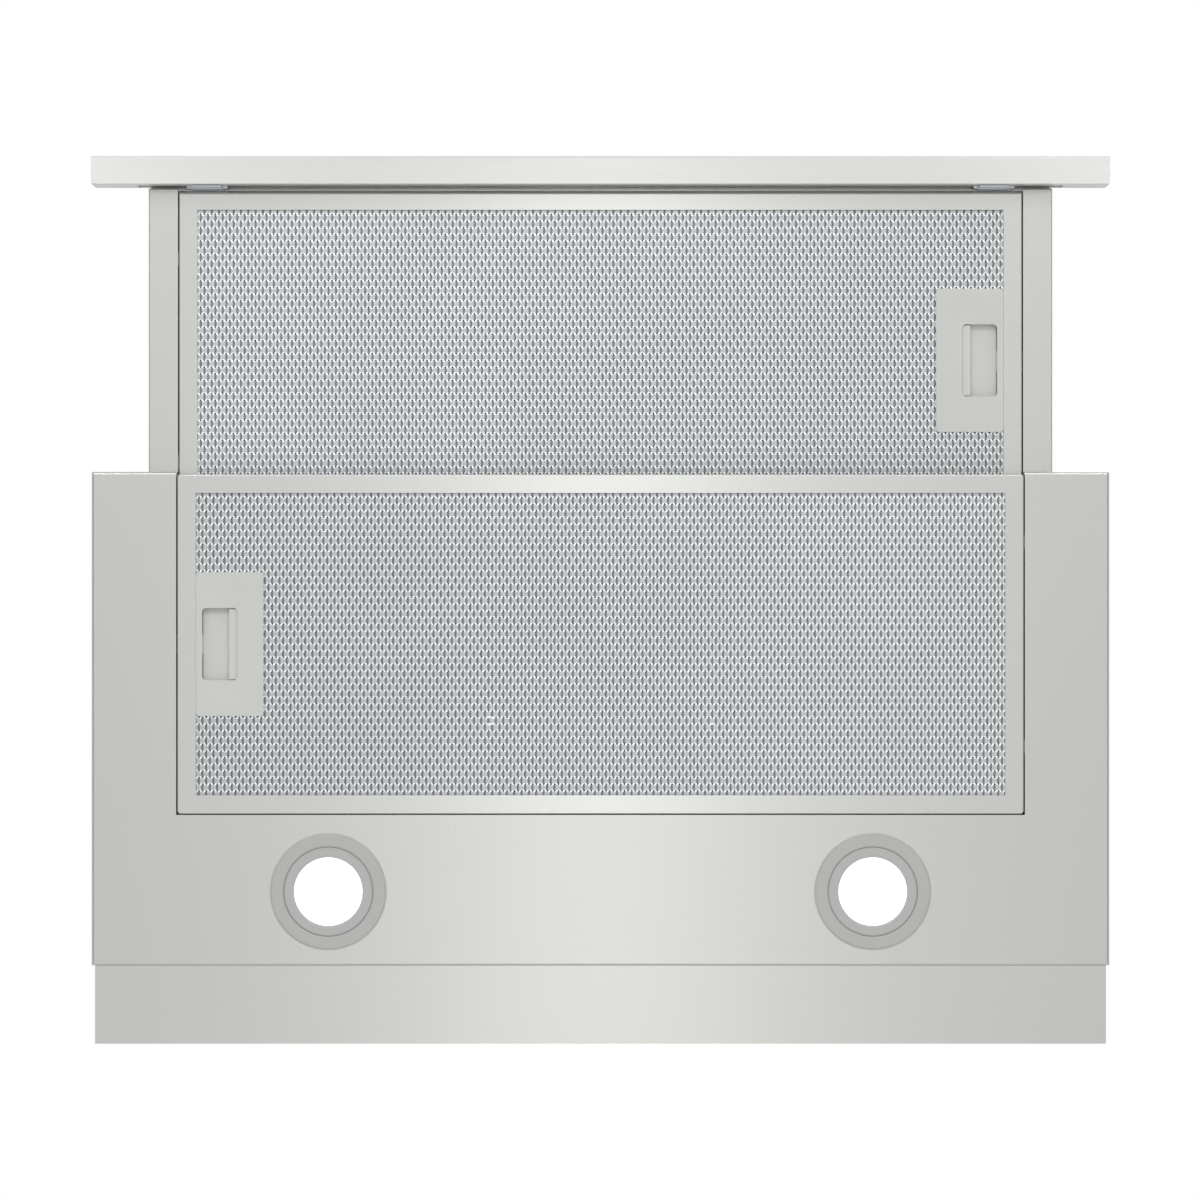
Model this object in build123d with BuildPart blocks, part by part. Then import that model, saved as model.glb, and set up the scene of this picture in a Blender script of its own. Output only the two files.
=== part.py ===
"""Telescopic range hood for a 60 cm wall cabinet, its filter drawer pulled out.

Millimetres, +Z up, the front bar at -Y. The origin is in the middle of the four cabinet screws,
on the face that meets the underside of the cabinet: the tray hangs below it and the fan housing
stands above it, inside the cabinet.
"""

import os
from math import asin, degrees

from build123d import *

os.makedirs("parts", exist_ok=True)

# Driving dimensions
body_width = 598.0
body_depth = 290.0
housing_height = 162.0
housing_side_inset = 36.0
housing_front_inset = 40.0
outlet_setback = 150.0
wing_width = 49.7
rear_band = 88.45
sheet = 1.0
bend = 1.5

# Grease filters, the same size in the body and in the drawer
filter_thickness = 9.5
filter_border = 11.0
filter_wall = 1.0
mesh_layers = 5
mesh_sheet = 0.4
filter_gap = 0.55
filter_front_inset = 1.4
filter_corner = 2.0
filter_bend = 0.8
filter_nose = 2.0
edge_rise = 0.5

# Filter handle and its sliding latch
handle_length = 39.6
handle_width = 84.4
handle_face = 1.2
handle_side = 1.5
recess_length = 20.7
recess_width = 42.5
recess_inset = 3.6
latch_travel = 5.0
latch_plate = 2.0
tongue_width = 12.0
tongue_height = 2.3
tongue_step = 0.6
tab_length = 5.2

# Hooks on the filter's hinge side
hook_width = 8.0
hook_length = 4.5
hook_height = 2.0
hook_lift = 5.0
hook_spacing = 120.0

# Filter drawer
rail_width = 17.3
rail_lip = 3.0
drawer_gap = 7.2
drawer_air = 9.5
drawer_headroom = 5.3
drawer_overlap = 33.7
drawer_rear_reach = 54.0
bar_closing_gap = 3.0

# Front bar, as high as the tray
bar_thickness = 16.1
bar_drop = 5.0
bar_lip = 3.0
bar_back_height = 19.0
bar_back_end = 26.0
core_thickness = 2.0
drawer_front_gap = 1.55
clip_width = 23.8
clip_inset = 17.3
clip_tab_width = 17.4
clip_tab_drop = 8.5
clip_tab_thickness = 1.2
clip_pocket_width = 21.9
clip_pocket_taper = 1.9
clip_pocket_drop = 3.0
clip_pocket_reach = 0.65
clip_pocket_wall = 0.45

# Switches in the front bar
panel_width = 100.0
panel_height = 18.0
panel_inset = 49.0
panel_depth = 4.7
knob_width = 14.0
knob_height = 9.0
knob_thickness = 2.4
stem_width = 6.0
stem_height = 3.0
light_travel = 8.0
fan_travel = 24.0

# Ball runners, inside the drawer's side rails
runner_height = 13.0
runner_depth = 13.05
runner_front_inset = 4.0
runner_inner_inset = 17.45
runner_headroom = 0.6
runner_boss_radius = 4.5
runner_bosses = 3
ball_diameter = 1.8
ball_count = 8
cage_sheet = 0.6

# Lamps
lamp_offset = 159.9
lamp_setback = 43.4
lamp_ring_radius = 34.3
lamp_sleeve_radius = 30.0
lamp_bezel_radius = 26.2
lamp_lens_radius = 20.0
lamp_can_height = 24.0

# Rear filler strip
filler_side_inset = 2.0
filler_depth = 46.0
filler_flange = 20.0

# Fan, as large as the housing's height leaves room for
scroll_neck = 25.0
scroll_step = 7.0
scroll_half_width = 58.0
scroll_wall = 2.0
scroll_rim = 3.0
scroll_floor_gap = 4.0
tongue_gap = 6.0
impeller_end_gap = 4.0
inlet_lap = 7.0
blade_count = 34
blade_length = 11.0
blade_thickness = 1.0
blade_angle = 28.0
shaft_radius = 4.0
motor_gap = 6.0
motor_length = 68.0
motor_start = 14.0

# Air outlet
collar_radius = 74.5
collar_wall = 2.0
collar_height = 32.0
collar_flange_radius = 84.0
collar_flange = 2.0
outlet_hole_radius = 70.0
flap_pin_radius = 1.5
flap_knuckle_radius = 3.0
flap_thickness = 1.2
flap_pin_height = 6.0

# Mains inlet and electrical box
gland_rear_inset = 65.0
gland_bore = 4.0
gland_thread = 8.0
gland_side_gap = 2.0
box_length = 100.0
box_height = 54.0
box_wall = 2.0

# Cabinet screws
cabinet_screw_inset = 17.0
cabinet_screw_end_inset = 30.0
cabinet_screw_radius = 2.4

# Clearances
fit = 0.2
running = 0.05
slip = 0.3

# Levels and lines that follow from the sizes above
drawer_rise = filter_thickness + drawer_gap
drawer_height = filter_thickness + drawer_air
tray_height = drawer_rise + drawer_height + drawer_headroom
cabinet_z = 0.0
housing_top = cabinet_z + housing_height
tray_bottom = cabinet_z - tray_height
collar_z = housing_top + collar_flange
front_y = -body_depth / 2
rear_y = body_depth / 2
outlet_y = front_y + outlet_setback
outlet_frame = Plane(origin=(0, outlet_y, collar_z), x_dir=(1, 0, 0), z_dir=(0, 0, 1))
half_body = body_width / 2
half_housing = half_body - housing_side_inset
housing_front = front_y + housing_front_inset

opening_half = half_body - wing_width
opening_rear = rear_y - rear_band
half_filter = opening_half - filter_gap
body_filter_front = front_y + filter_front_inset
filter_depth = opening_rear - filter_gap - body_filter_front
body_filter_y = body_filter_front + filter_depth / 2
edge_height = filter_thickness + edge_rise
handle_top = filter_thickness - filter_wall - 0.1
latch_top = handle_top - filter_wall - fit
latch_bottom = latch_top - latch_plate
tongue_lift = latch_bottom - tongue_step

drawer_bottom = tray_bottom + drawer_rise
drawer_top = drawer_bottom + drawer_height
half_drawer = opening_half + rail_width
drawer_front_stack = drawer_front_gap + sheet + filter_gap
drawer_travel = filter_depth + drawer_front_stack - bar_closing_gap - drawer_overlap
bar_rear = front_y - drawer_travel - bar_closing_gap
bar_front = bar_rear - bar_thickness
bar_bottom = tray_bottom - bar_drop
bar_top = bar_bottom + tray_height
drawer_front = bar_rear + drawer_front_gap
drawer_filter_front = drawer_front + sheet + filter_gap
drawer_filter_y = drawer_filter_front + filter_depth / 2
drawer_filter_rear = drawer_filter_front + filter_depth
drawer_rear = drawer_filter_rear + drawer_rear_reach

body_filter_frame = Plane(origin=(0, body_filter_y, tray_bottom), x_dir=(1, 0, 0), z_dir=(0, 0, 1))
drawer_filter_frame = Plane(origin=(0, drawer_filter_y, drawer_bottom), x_dir=(-1, 0, 0), z_dir=(0, 0, 1))


def block(x, y, z, mode=Mode.ADD, frame=Plane.XY):
    """A straight-sided block between the limits x, y and z of a frame, in the part being built."""
    with BuildSketch(frame.offset(z[0])) as profile:
        with Locations(((x[0] + x[1]) / 2, (y[0] + y[1]) / 2)):
            Rectangle(x[1] - x[0], y[1] - y[0])
    extrude(profile.sketch, amount=z[1] - z[0], mode=mode)


def rod(plane, radius, length, centres=((0, 0),), mode=Mode.ADD):
    """Round rods that stand on a plane at the given centres, in the part being built."""
    with BuildSketch(plane) as profile:
        with Locations(*centres):
            Circle(radius)
    extrude(profile.sketch, amount=length, mode=mode)


def mirrored(side, near, far):
    """The limits near to far, measured outwards from the middle, on the given side."""
    return (near, far) if side > 0 else (-far, -near)


# Lower tray: one folded sheet with the filter opening in front and the lamps behind it
lamp_y = rear_y - lamp_setback
lamp_centres = [(-lamp_offset, lamp_y), (lamp_offset, lamp_y)]
mouth_half = half_drawer + 1.2
mouth_bottom = drawer_bottom - 1.2
tray_wall_top = cabinet_z - sheet
filler_screw_x = [-240.0, -80.0, 80.0, 240.0]
filler_screw_z = tray_bottom + 14.0
screw_radius = 1.7
screw_head_radius = 3.4
screw_head = 2.0
screw_length = 8.0

hook_y = (-hook_spacing / 2, hook_spacing / 2)


def filter_catches(frame):
    """Cuts a hole for the latch tongue and two notches for the hooks in the edges round a filter."""
    block(
        (-opening_half - 2 * sheet, -opening_half + sheet),
        (-tongue_width / 2 - slip, tongue_width / 2 + slip),
        (tongue_lift - slip, tongue_lift + tongue_height + slip),
        Mode.SUBTRACT,
        frame,
    )
    for y in hook_y:
        block(
            (opening_half - sheet, opening_half + 2 * sheet),
            (y - hook_width / 2 - slip, y + hook_width / 2 + slip),
            (hook_lift - slip, edge_height + sheet),
            Mode.SUBTRACT,
            frame,
        )


with BuildPart() as tray_shell:
    block((-half_body, half_body), (front_y, rear_y), (tray_bottom, tray_wall_top))
    fillet(tray_shell.edges().group_by(Axis.Z)[0], radius=bend)
    block(
        (-half_body + sheet, half_body - sheet),
        (front_y + sheet, rear_y - sheet),
        (tray_bottom + sheet, tray_wall_top),
        Mode.SUBTRACT,
    )
    block((-mouth_half, mouth_half), (front_y - 1, front_y + 2 * sheet), (mouth_bottom, cabinet_z), Mode.SUBTRACT)
    block(
        (-opening_half, opening_half),
        (front_y - 1, opening_rear),
        (tray_bottom - 1, mouth_bottom + 1),
        Mode.SUBTRACT,
    )
    for side in (-1, 1):
        block(
            mirrored(side, opening_half, opening_half + sheet),
            (front_y + sheet, opening_rear + sheet),
            (tray_bottom + sheet / 2, tray_bottom + edge_height),
        )
    block(
        (-opening_half, opening_half),
        (opening_rear, opening_rear + sheet),
        (tray_bottom + sheet / 2, tray_bottom + edge_height),
    )
    filter_catches(body_filter_frame)
    rod(Plane.XY.offset(tray_bottom - 1), lamp_sleeve_radius + fit, 3 * sheet, lamp_centres, Mode.SUBTRACT)
    rod(
        Plane.XZ.offset(-rear_y - 1),
        screw_radius + fit,
        3 * sheet,
        [(x, filler_screw_z) for x in filler_screw_x],
        Mode.SUBTRACT,
    )
tray_shell.part.label = "tray_shell"
export_step(tray_shell.part, "parts/tray_shell.step")

# Top plate of the tray: the flange that meets the cabinet, with the air opening and the
# turned-down webs whose bosses carry the runners
web_x = half_drawer + 1.2
runner_start = opening_half + sheet
runner_end = runner_start + runner_depth
runner_z = drawer_top - sheet - runner_headroom - runner_height / 2
runner_front = front_y + runner_front_inset
runner_rear = drawer_rear + drawer_travel - runner_front_inset
runner_length = runner_rear - runner_front
boss_inset = 16.0
boss_pitch = (runner_length - 2 * boss_inset) / (runner_bosses - 1)
boss_centres = [(runner_front + boss_inset + n * boss_pitch, runner_z) for n in range(runner_bosses)]
air_opening_half = half_housing - 19.0
air_opening_front = housing_front + 15.0
air_opening_rear = rear_y - 15.0
cabinet_screw_centres = [
    (x, y)
    for x in (-half_body + cabinet_screw_inset, half_body - cabinet_screw_inset)
    for y in (front_y + cabinet_screw_end_inset, rear_y - cabinet_screw_end_inset)
]

with BuildPart() as tray_top:
    block((-half_body, half_body), (front_y, rear_y), (cabinet_z - sheet, cabinet_z))
    block(
        (-air_opening_half, air_opening_half),
        (air_opening_front, air_opening_rear),
        (cabinet_z - 2 * sheet, cabinet_z + sheet),
        Mode.SUBTRACT,
    )
    for side in (-1, 1):
        block(
            mirrored(side, web_x, web_x + sheet),
            (runner_front, runner_rear),
            (tray_bottom + sheet, cabinet_z - sheet),
        )
        rod(Plane.YZ.offset(side * runner_end), runner_boss_radius, side * (web_x - runner_end), boss_centres)
    rod(
        Plane.XY.offset(cabinet_z - 2 * sheet),
        cabinet_screw_radius,
        3 * sheet,
        cabinet_screw_centres,
        Mode.SUBTRACT,
    )
tray_top.part.label = "tray_top"
export_step(tray_top.part, "parts/tray_top.step")

# Upper housing: a cover folded over front, top and rear, and two side plates
collar_screw_pitch = 79.6
collar_screws = 4
seam_flange = 12.0
seam_inset = half_housing - sheet
gland_centre = (seam_inset - seam_flange - gland_side_gap - gland_thread, rear_y - gland_rear_inset)

with BuildPart() as housing_cover:
    block((-seam_inset, seam_inset), (housing_front, rear_y), (cabinet_z, housing_top))
    fillet(
        housing_cover.edges().filter_by(Axis.X).group_by(Axis.Z)[-1],
        radius=bend,
    )
    block(
        (-seam_inset, seam_inset),
        (housing_front + sheet, rear_y - sheet),
        (cabinet_z, housing_top - sheet),
        Mode.SUBTRACT,
    )
    rod(outlet_frame, outlet_hole_radius, -collar_flange - 2 * sheet, mode=Mode.SUBTRACT)
    rod(Plane.XY.offset(housing_top + sheet), gland_thread + fit, -3 * sheet, [gland_centre], Mode.SUBTRACT)
    with BuildSketch(outlet_frame):
        with PolarLocations(collar_screw_pitch, collar_screws, start_angle=45):
            Circle(screw_radius + fit)
    extrude(amount=-collar_flange - 2 * sheet, mode=Mode.SUBTRACT)
housing_cover.part.label = "housing_cover"
export_step(housing_cover.part, "parts/housing_cover.step")

for side, name in ((-1, "left"), (1, "right")):
    with BuildPart() as side_plate:
        block(mirrored(side, seam_inset, half_housing), (housing_front, rear_y), (cabinet_z, housing_top))
        inner_y = (housing_front + sheet + fit, rear_y - sheet - fit)
        seam_x = mirrored(side, seam_inset - seam_flange, seam_inset)
        block(seam_x, inner_y, (cabinet_z, cabinet_z + sheet))
        block(seam_x, inner_y, (housing_top - 2 * sheet, housing_top - sheet))
    side_plate.part.label = f"{name}_side_plate"
    export_step(side_plate.part, f"parts/{name}_side_plate.step")

# Fan scroll: three quarter arcs that step outwards and a straight neck up to the outlet
neck_top = housing_top - sheet
scroll_room = neck_top - scroll_neck - cabinet_z - scroll_floor_gap
scroll_radius = (scroll_room - scroll_step - scroll_wall - scroll_rim) / 2
neck_width = scroll_radius + 3 * scroll_step
scroll_y = outlet_y - neck_width / 2
fan_z = neck_top - scroll_neck - scroll_radius
fan_y = scroll_y + scroll_step / 2
impeller_radius = scroll_radius - tongue_gap
impeller_half_length = scroll_half_width - impeller_end_gap
inlet_radius = impeller_radius - inlet_lap
motor_radius = impeller_radius - blade_length - motor_gap
fan_axis_plane = Plane(origin=(0, fan_y, fan_z), x_dir=(0, 1, 0), z_dir=(1, 0, 0))


def scroll_outline(x, wall):
    """The scroll's outline on the plane at x, grown outwards by wall."""
    first, second, third = (scroll_radius + n * scroll_step + wall for n in range(3))
    lip_angle = degrees(asin(wall / first))
    right = scroll_y + scroll_step + third
    with BuildSketch(Plane.YZ.offset(x)) as outline:
        with BuildLine():
            top = CenterArc((scroll_y, fan_z), first, 90 + lip_angle, 90 - lip_angle)
            CenterArc((scroll_y + scroll_step, fan_z), second, 180, 90)
            last = CenterArc((scroll_y + scroll_step, fan_z + scroll_step), third, 270, 90)
            Polyline(last @ 1, (right, neck_top), (scroll_y - wall, neck_top), top @ 0)
        make_face()
    return outline.sketch


for side, name in ((-1, "left"), (1, "right")):
    outer_end = side * (scroll_half_width + scroll_wall)
    with BuildPart() as volute:
        extrude(scroll_outline(0, scroll_wall), amount=outer_end)
        extrude(scroll_outline(0, scroll_wall + scroll_rim), amount=side * scroll_wall)
        extrude(scroll_outline(0, 0), amount=side * scroll_half_width, mode=Mode.SUBTRACT)
        bellmouth = fan_axis_plane.offset(outer_end)
        rod(bellmouth, inlet_radius + scroll_wall, side * 3)
        rod(bellmouth.offset(-side * 3), inlet_radius, side * 8, mode=Mode.SUBTRACT)
    volute.part.label = f"volute_{name}"
    export_step(volute.part, f"parts/volute_{name}.step")

# Impeller: a centre disc with its hub, forward-leaning blades seated in slots in its rim, a ring at each end
hub_radius = 9.0
hub_half_length = 12.0
disc_thickness = 2.0
end_ring_thickness = 2.0
end_ring_lip = 0.6
hub_bore_half_length = 20.0
blade_middle = impeller_radius - blade_length / 2
blade_half_length = impeller_half_length - end_ring_thickness


def blade_sections():
    """The blades' sections, set round the fan's axis at their outer end."""
    with BuildSketch(fan_axis_plane.offset(-blade_half_length)) as sections:
        with PolarLocations(blade_middle, blade_count):
            Rectangle(blade_length, blade_thickness, rotation=blade_angle)
    return sections.sketch


with BuildPart() as impeller_disc:
    rod(fan_axis_plane.offset(-disc_thickness / 2), impeller_radius + end_ring_lip, disc_thickness)
    rod(fan_axis_plane.offset(-hub_half_length), hub_radius, 2 * hub_half_length)
    extrude(blade_sections(), amount=2 * blade_half_length, mode=Mode.SUBTRACT)
    rod(fan_axis_plane.offset(-hub_bore_half_length), shaft_radius, 2 * hub_bore_half_length, mode=Mode.SUBTRACT)
with BuildPart() as impeller_blades:
    extrude(blade_sections(), amount=2 * blade_half_length)
impeller_rings = []
for x in (-impeller_half_length, blade_half_length):
    with BuildPart() as end_ring:
        with BuildSketch(fan_axis_plane.offset(x)):
            Circle(impeller_radius + end_ring_lip)
            Circle(impeller_radius - blade_length + 1, mode=Mode.SUBTRACT)
        extrude(amount=end_ring_thickness)
    impeller_rings.append(end_ring.part.solid())
impeller = Compound([impeller_disc.part.solid(), *impeller_blades.part.solids(), *impeller_rings])
impeller.label = "impeller"
export_step(impeller, "parts/impeller.step")

# Motor inside the right blade ring, its shaft, its bracket and the run capacitor
motor_end = motor_start + motor_length
with BuildPart() as motor:
    rod(fan_axis_plane.offset(motor_start), motor_radius, motor_length)
    fillet(motor.edges().filter_by(GeomType.CIRCLE), radius=3)
    rod(fan_axis_plane.offset(motor_start - 1.5), 10, motor_length + 6)
    rod(fan_axis_plane.offset(motor_start - 3), shaft_radius + running, motor_length + 12, mode=Mode.SUBTRACT)
motor.part.label = "motor"
export_step(motor.part, "parts/motor.step")

with BuildPart() as motor_shaft:
    rod(fan_axis_plane.offset(-hub_half_length), shaft_radius, hub_half_length + motor_end + 10)
    chamfer(motor_shaft.edges().filter_by(GeomType.CIRCLE), length=0.6)
motor_shaft.part.label = "motor_shaft"
export_step(motor_shaft.part, "parts/motor_shaft.step")

bracket_x = scroll_half_width + scroll_wall + 4
bracket_foot_pitch = inlet_radius + 9.5
with BuildPart() as motor_bracket:
    with BuildSketch(fan_axis_plane.offset(bracket_x)):
        Circle(motor_radius + 6)
        with PolarLocations((motor_radius + bracket_foot_pitch) / 2, 3, start_angle=90):
            Rectangle(bracket_foot_pitch - motor_radius, 12)
        with PolarLocations(bracket_foot_pitch, 3, start_angle=90):
            Circle(6)
        Circle(motor_radius + 0.02, mode=Mode.SUBTRACT)
    extrude(amount=3)
    with BuildSketch(fan_axis_plane.offset(bracket_x - 4)):
        with PolarLocations(bracket_foot_pitch, 3, start_angle=90):
            Circle(4.5)
    extrude(amount=4)
motor_bracket.part.label = "motor_bracket"
export_step(motor_bracket.part, "parts/motor_bracket.step")

capacitor_radius = 13.0
capacitor_y = (housing_front + 30.0, housing_front + 85.0)
capacitor_z = cabinet_z + 52.0
capacitor_x = seam_inset - capacitor_radius - 0.5
with BuildPart() as capacitor:
    rod(
        Plane.XZ.offset(-capacitor_y[1]),
        capacitor_radius,
        capacitor_y[1] - capacitor_y[0],
        [(capacitor_x, capacitor_z)],
    )
    fillet(capacitor.edges().filter_by(GeomType.CIRCLE), radius=1.5)
    block(
        (capacitor_x, seam_inset),
        (capacitor_y[0] + 10, capacitor_y[1] - 10),
        (capacitor_z - 10, capacitor_z + 10),
    )
capacitor.part.label = "capacitor"
export_step(capacitor.part, "parts/capacitor.step")

# Air outlet: the collar that the duct slides over, with two non-return flaps on one pin
collar_inner = collar_radius - collar_wall
pin_half_length = collar_radius - fit
pin_centre = (outlet_y, collar_z + flap_pin_height)
ledge_inner = 67.5
ledge_thickness = 1.6
ledge_top = flap_pin_height - flap_thickness / 2 - slip
with BuildPart() as outlet_collar:
    rod(outlet_frame, collar_flange_radius, -collar_flange)
    rod(outlet_frame, collar_radius, collar_height)
    rod(outlet_frame.offset(-2 * collar_flange), collar_inner, 4 * collar_flange + collar_height, mode=Mode.SUBTRACT)
    fillet(outlet_collar.edges().filter_by(GeomType.CIRCLE).sort_by(Axis.Z)[-1], radius=0.6)
    with BuildSketch(outlet_frame.offset(ledge_top - ledge_thickness)):
        Circle(collar_inner + collar_wall / 2)
        Circle(ledge_inner, mode=Mode.SUBTRACT)
        Rectangle(3 * collar_radius, 2 * flap_knuckle_radius + 2, mode=Mode.SUBTRACT)
    extrude(amount=ledge_thickness)
    rod(
        Plane.YZ.offset(-collar_radius - 1),
        flap_pin_radius + running,
        2 * collar_radius + 2,
        [pin_centre],
        Mode.SUBTRACT,
    )
    with BuildSketch(outlet_frame.offset(-2 * collar_flange)):
        with PolarLocations(collar_screw_pitch, collar_screws, start_angle=45):
            Circle(screw_radius + fit)
    extrude(amount=3 * collar_flange, mode=Mode.SUBTRACT)
outlet_collar.part.label = "outlet_collar"
export_step(outlet_collar.part, "parts/outlet_collar.step")

with BuildPart() as flap_pin:
    rod(Plane.YZ.offset(-pin_half_length), flap_pin_radius, 2 * pin_half_length, [pin_centre])
flap_pin.part.label = "flap_pin"
export_step(flap_pin.part, "parts/flap_pin.step")

flap_radius = collar_inner - 1.0
flap_edge = flap_knuckle_radius + 0.8
knuckle_reach = 66.0
knuckle_spans = {
    "front": ((-knuckle_reach, -36.0), (0.5, 34.5)),
    "rear": ((-34.5, -0.5), (36.0, knuckle_reach)),
}
for side, name in ((-1, "front"), (1, "rear")):
    with BuildPart() as flap:
        with BuildSketch(outlet_frame.offset(flap_pin_height - flap_thickness / 2)):
            Circle(flap_radius)
            with Locations((0, -side * flap_radius)):
                Rectangle(3 * flap_radius, 2 * (flap_radius + flap_edge), mode=Mode.SUBTRACT)
            for start, end in knuckle_spans[name]:
                with Locations(((start + end) / 2, side * (flap_knuckle_radius + 1) / 2)):
                    Rectangle(end - start, flap_knuckle_radius + 1)
        extrude(amount=flap_thickness)
        for start, end in knuckle_spans[name]:
            rod(Plane.YZ.offset(start), flap_knuckle_radius, end - start, [pin_centre])
        rod(
            Plane.YZ.offset(-collar_radius),
            flap_pin_radius + running,
            2 * collar_radius,
            [pin_centre],
            Mode.SUBTRACT,
        )
    flap.part.label = f"{name}_flap"
    export_step(flap.part, f"parts/{name}_flap.step")

# Electrical box on the right side plate, its board and lid, the lamp driver and the mains inlet
box_x = (2 * gland_centre[0] - seam_inset, seam_inset)
box_y = (gland_centre[1] - box_length / 2, gland_centre[1] + box_length / 2)
box_top = housing_top - 6.0
box_z = (box_top - box_height, box_top)
board_x = seam_inset - 12.0
board_thickness = 1.6
post_radius = 3.0
board_y = (box_y[0] + 6, box_y[1] - 6)
board_z = (box_z[0] + 5, box_z[1] - 12)
post_centres = [
    (y, z)
    for y in (board_y[0] + post_radius + 1, board_y[1] - post_radius - 1)
    for z in (board_z[0] + post_radius + 1, board_z[1] - post_radius - 1)
]
with BuildPart() as terminal_box:
    block(box_x, box_y, box_z)
    fillet(terminal_box.edges().filter_by(Axis.X), radius=3)
    block(
        (box_x[0], box_x[1] - box_wall),
        (box_y[0] + box_wall, box_y[1] - box_wall),
        (box_z[0] + box_wall, box_z[1] - box_wall),
        Mode.SUBTRACT,
    )
    rod(
        Plane.YZ.offset(board_x + board_thickness),
        post_radius,
        box_x[1] - box_wall - board_x - board_thickness,
        post_centres,
    )
    rod(
        Plane.XY.offset(box_z[1] - 2 * box_wall),
        gland_thread + fit,
        3 * box_wall,
        [gland_centre],
        Mode.SUBTRACT,
    )
terminal_box.part.label = "terminal_box"
export_step(terminal_box.part, "parts/terminal_box.step")

with BuildPart() as terminal_box_lid:
    block((box_x[0] - box_wall, box_x[0]), box_y, box_z)
    fillet(terminal_box_lid.edges().filter_by(Axis.X), radius=3)
    block(
        (box_x[0], box_x[0] + 3),
        (box_y[0] + box_wall + fit, box_y[1] - box_wall - fit),
        (box_z[0] + box_wall + fit, box_z[1] - box_wall - fit),
    )
    block(
        (box_x[0], box_x[0] + 3),
        (box_y[0] + 2 * box_wall, box_y[1] - 2 * box_wall),
        (box_z[0] + 2 * box_wall, box_z[1] - 2 * box_wall),
        Mode.SUBTRACT,
    )
terminal_box_lid.part.label = "terminal_box_lid"
export_step(terminal_box_lid.part, "parts/terminal_box_lid.step")

with BuildPart() as circuit_board:
    block((board_x, board_x + board_thickness), board_y, board_z)
    relay_y = board_y[0] + 4
    block((board_x - 14, board_x), (relay_y, relay_y + 18), (board_z[0] + 4, board_z[0] + 22))
    block((board_x - 10, board_x), (board_y[1] - 26, board_y[1] - 6), (board_z[0] + 4, board_z[0] + 14))
    rod(
        Plane.YZ.offset(board_x - 12),
        4.0,
        12,
        [(relay_y + 28, board_z[0] + 10), (relay_y + 38, board_z[0] + 10)],
    )
circuit_board.part.label = "circuit_board"
export_step(circuit_board.part, "parts/circuit_board.step")

driver_z = box_z[0] - 50.0
with BuildPart() as lamp_driver:
    block((seam_inset - 24, seam_inset), (box_y[0], box_y[0] + 90), (driver_z, driver_z + 34))
    fillet(lamp_driver.edges().filter_by(Axis.X), radius=2)
lamp_driver.part.label = "lamp_driver"
export_step(lamp_driver.part, "parts/lamp_driver.step")

gland_nut = 6.0
gland_hex = 5.0
gland_rise = 12.0
gland_bottom = box_z[1] - box_wall - gland_nut
gland_top = housing_top + gland_rise
with BuildPart() as mains_gland:
    with BuildSketch(Plane.XY.offset(housing_top)):
        with Locations(gland_centre):
            RegularPolygon(gland_thread + 4.0, 6)
    extrude(amount=gland_hex)
    rod(Plane.XY.offset(housing_top + gland_hex), gland_thread + 1.0, gland_rise - gland_hex, [gland_centre])
    fillet(mains_gland.edges().filter_by(GeomType.CIRCLE).sort_by(Axis.Z)[-1], radius=2)
    rod(Plane.XY.offset(gland_bottom), gland_thread, housing_top - gland_bottom, [gland_centre])
    with BuildSketch(Plane.XY.offset(gland_bottom)):
        with Locations(gland_centre):
            RegularPolygon(gland_thread + 3.5, 6)
    extrude(amount=gland_nut)
    rod(
        Plane.XY.offset(gland_bottom - 1),
        gland_bore,
        gland_top - gland_bottom + 2,
        [gland_centre],
        Mode.SUBTRACT,
    )
mains_gland.part.label = "mains_gland"
export_step(mains_gland.part, "parts/mains_gland.step")

# Lamps: trim ring, bezel, lens and can, turned about each lamp's axis
ring_proud = 1.4
ledge_height = 0.6
bezel_top = 2.4


def lamp_piece(centre, outline):
    """A piece turned about a lamp's axis from an outline of radius and height above the tray."""
    plane = Plane(origin=(centre[0], centre[1], tray_bottom), x_dir=(1, 0, 0), z_dir=(0, -1, 0))
    with BuildSketch(plane) as profile:
        with BuildLine():
            Polyline(*outline, close=True)
        make_face()
    revolve(profile.sketch, axis=Axis((centre[0], centre[1], 0), (0, 0, 1)))


ring_outline = [
    (lamp_bezel_radius + fit, -ring_proud + 0.4),
    (lamp_bezel_radius + fit + 0.8, -ring_proud),
    (lamp_ring_radius - 1.2, -ring_proud),
    (lamp_ring_radius, -0.5),
    (lamp_ring_radius, 0),
    (lamp_sleeve_radius, 0),
    (lamp_sleeve_radius, 6),
    (lamp_sleeve_radius - 1.5, 6),
    (lamp_sleeve_radius - 1.5, ledge_height),
    (lamp_bezel_radius + fit, ledge_height),
]
bezel_outline = [
    (lamp_lens_radius + fit, -0.4),
    (lamp_lens_radius + 1.2, -0.9),
    (lamp_bezel_radius - 0.8, -0.9),
    (lamp_bezel_radius, -0.4),
    (lamp_bezel_radius, ledge_height),
    (lamp_sleeve_radius - 1.5 - fit, ledge_height),
    (lamp_sleeve_radius - 1.5 - fit, bezel_top),
    (lamp_lens_radius - 2, bezel_top),
    (lamp_lens_radius - 2, ledge_height),
    (lamp_lens_radius + fit, ledge_height),
]
can_radius = lamp_sleeve_radius - 1.5 - fit
can_wall = 1.4
can_top = bezel_top + lamp_can_height
can_outline = [
    (can_radius - can_wall, bezel_top),
    (can_radius, bezel_top),
    (can_radius, can_top - 3),
    (can_radius - 3, can_top),
    (0, can_top),
    (0, can_top - can_wall),
    (can_radius - 3 - can_wall, can_top - can_wall),
    (can_radius - can_wall, can_top - 3 - can_wall),
]
fin_height = 5.0
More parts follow.
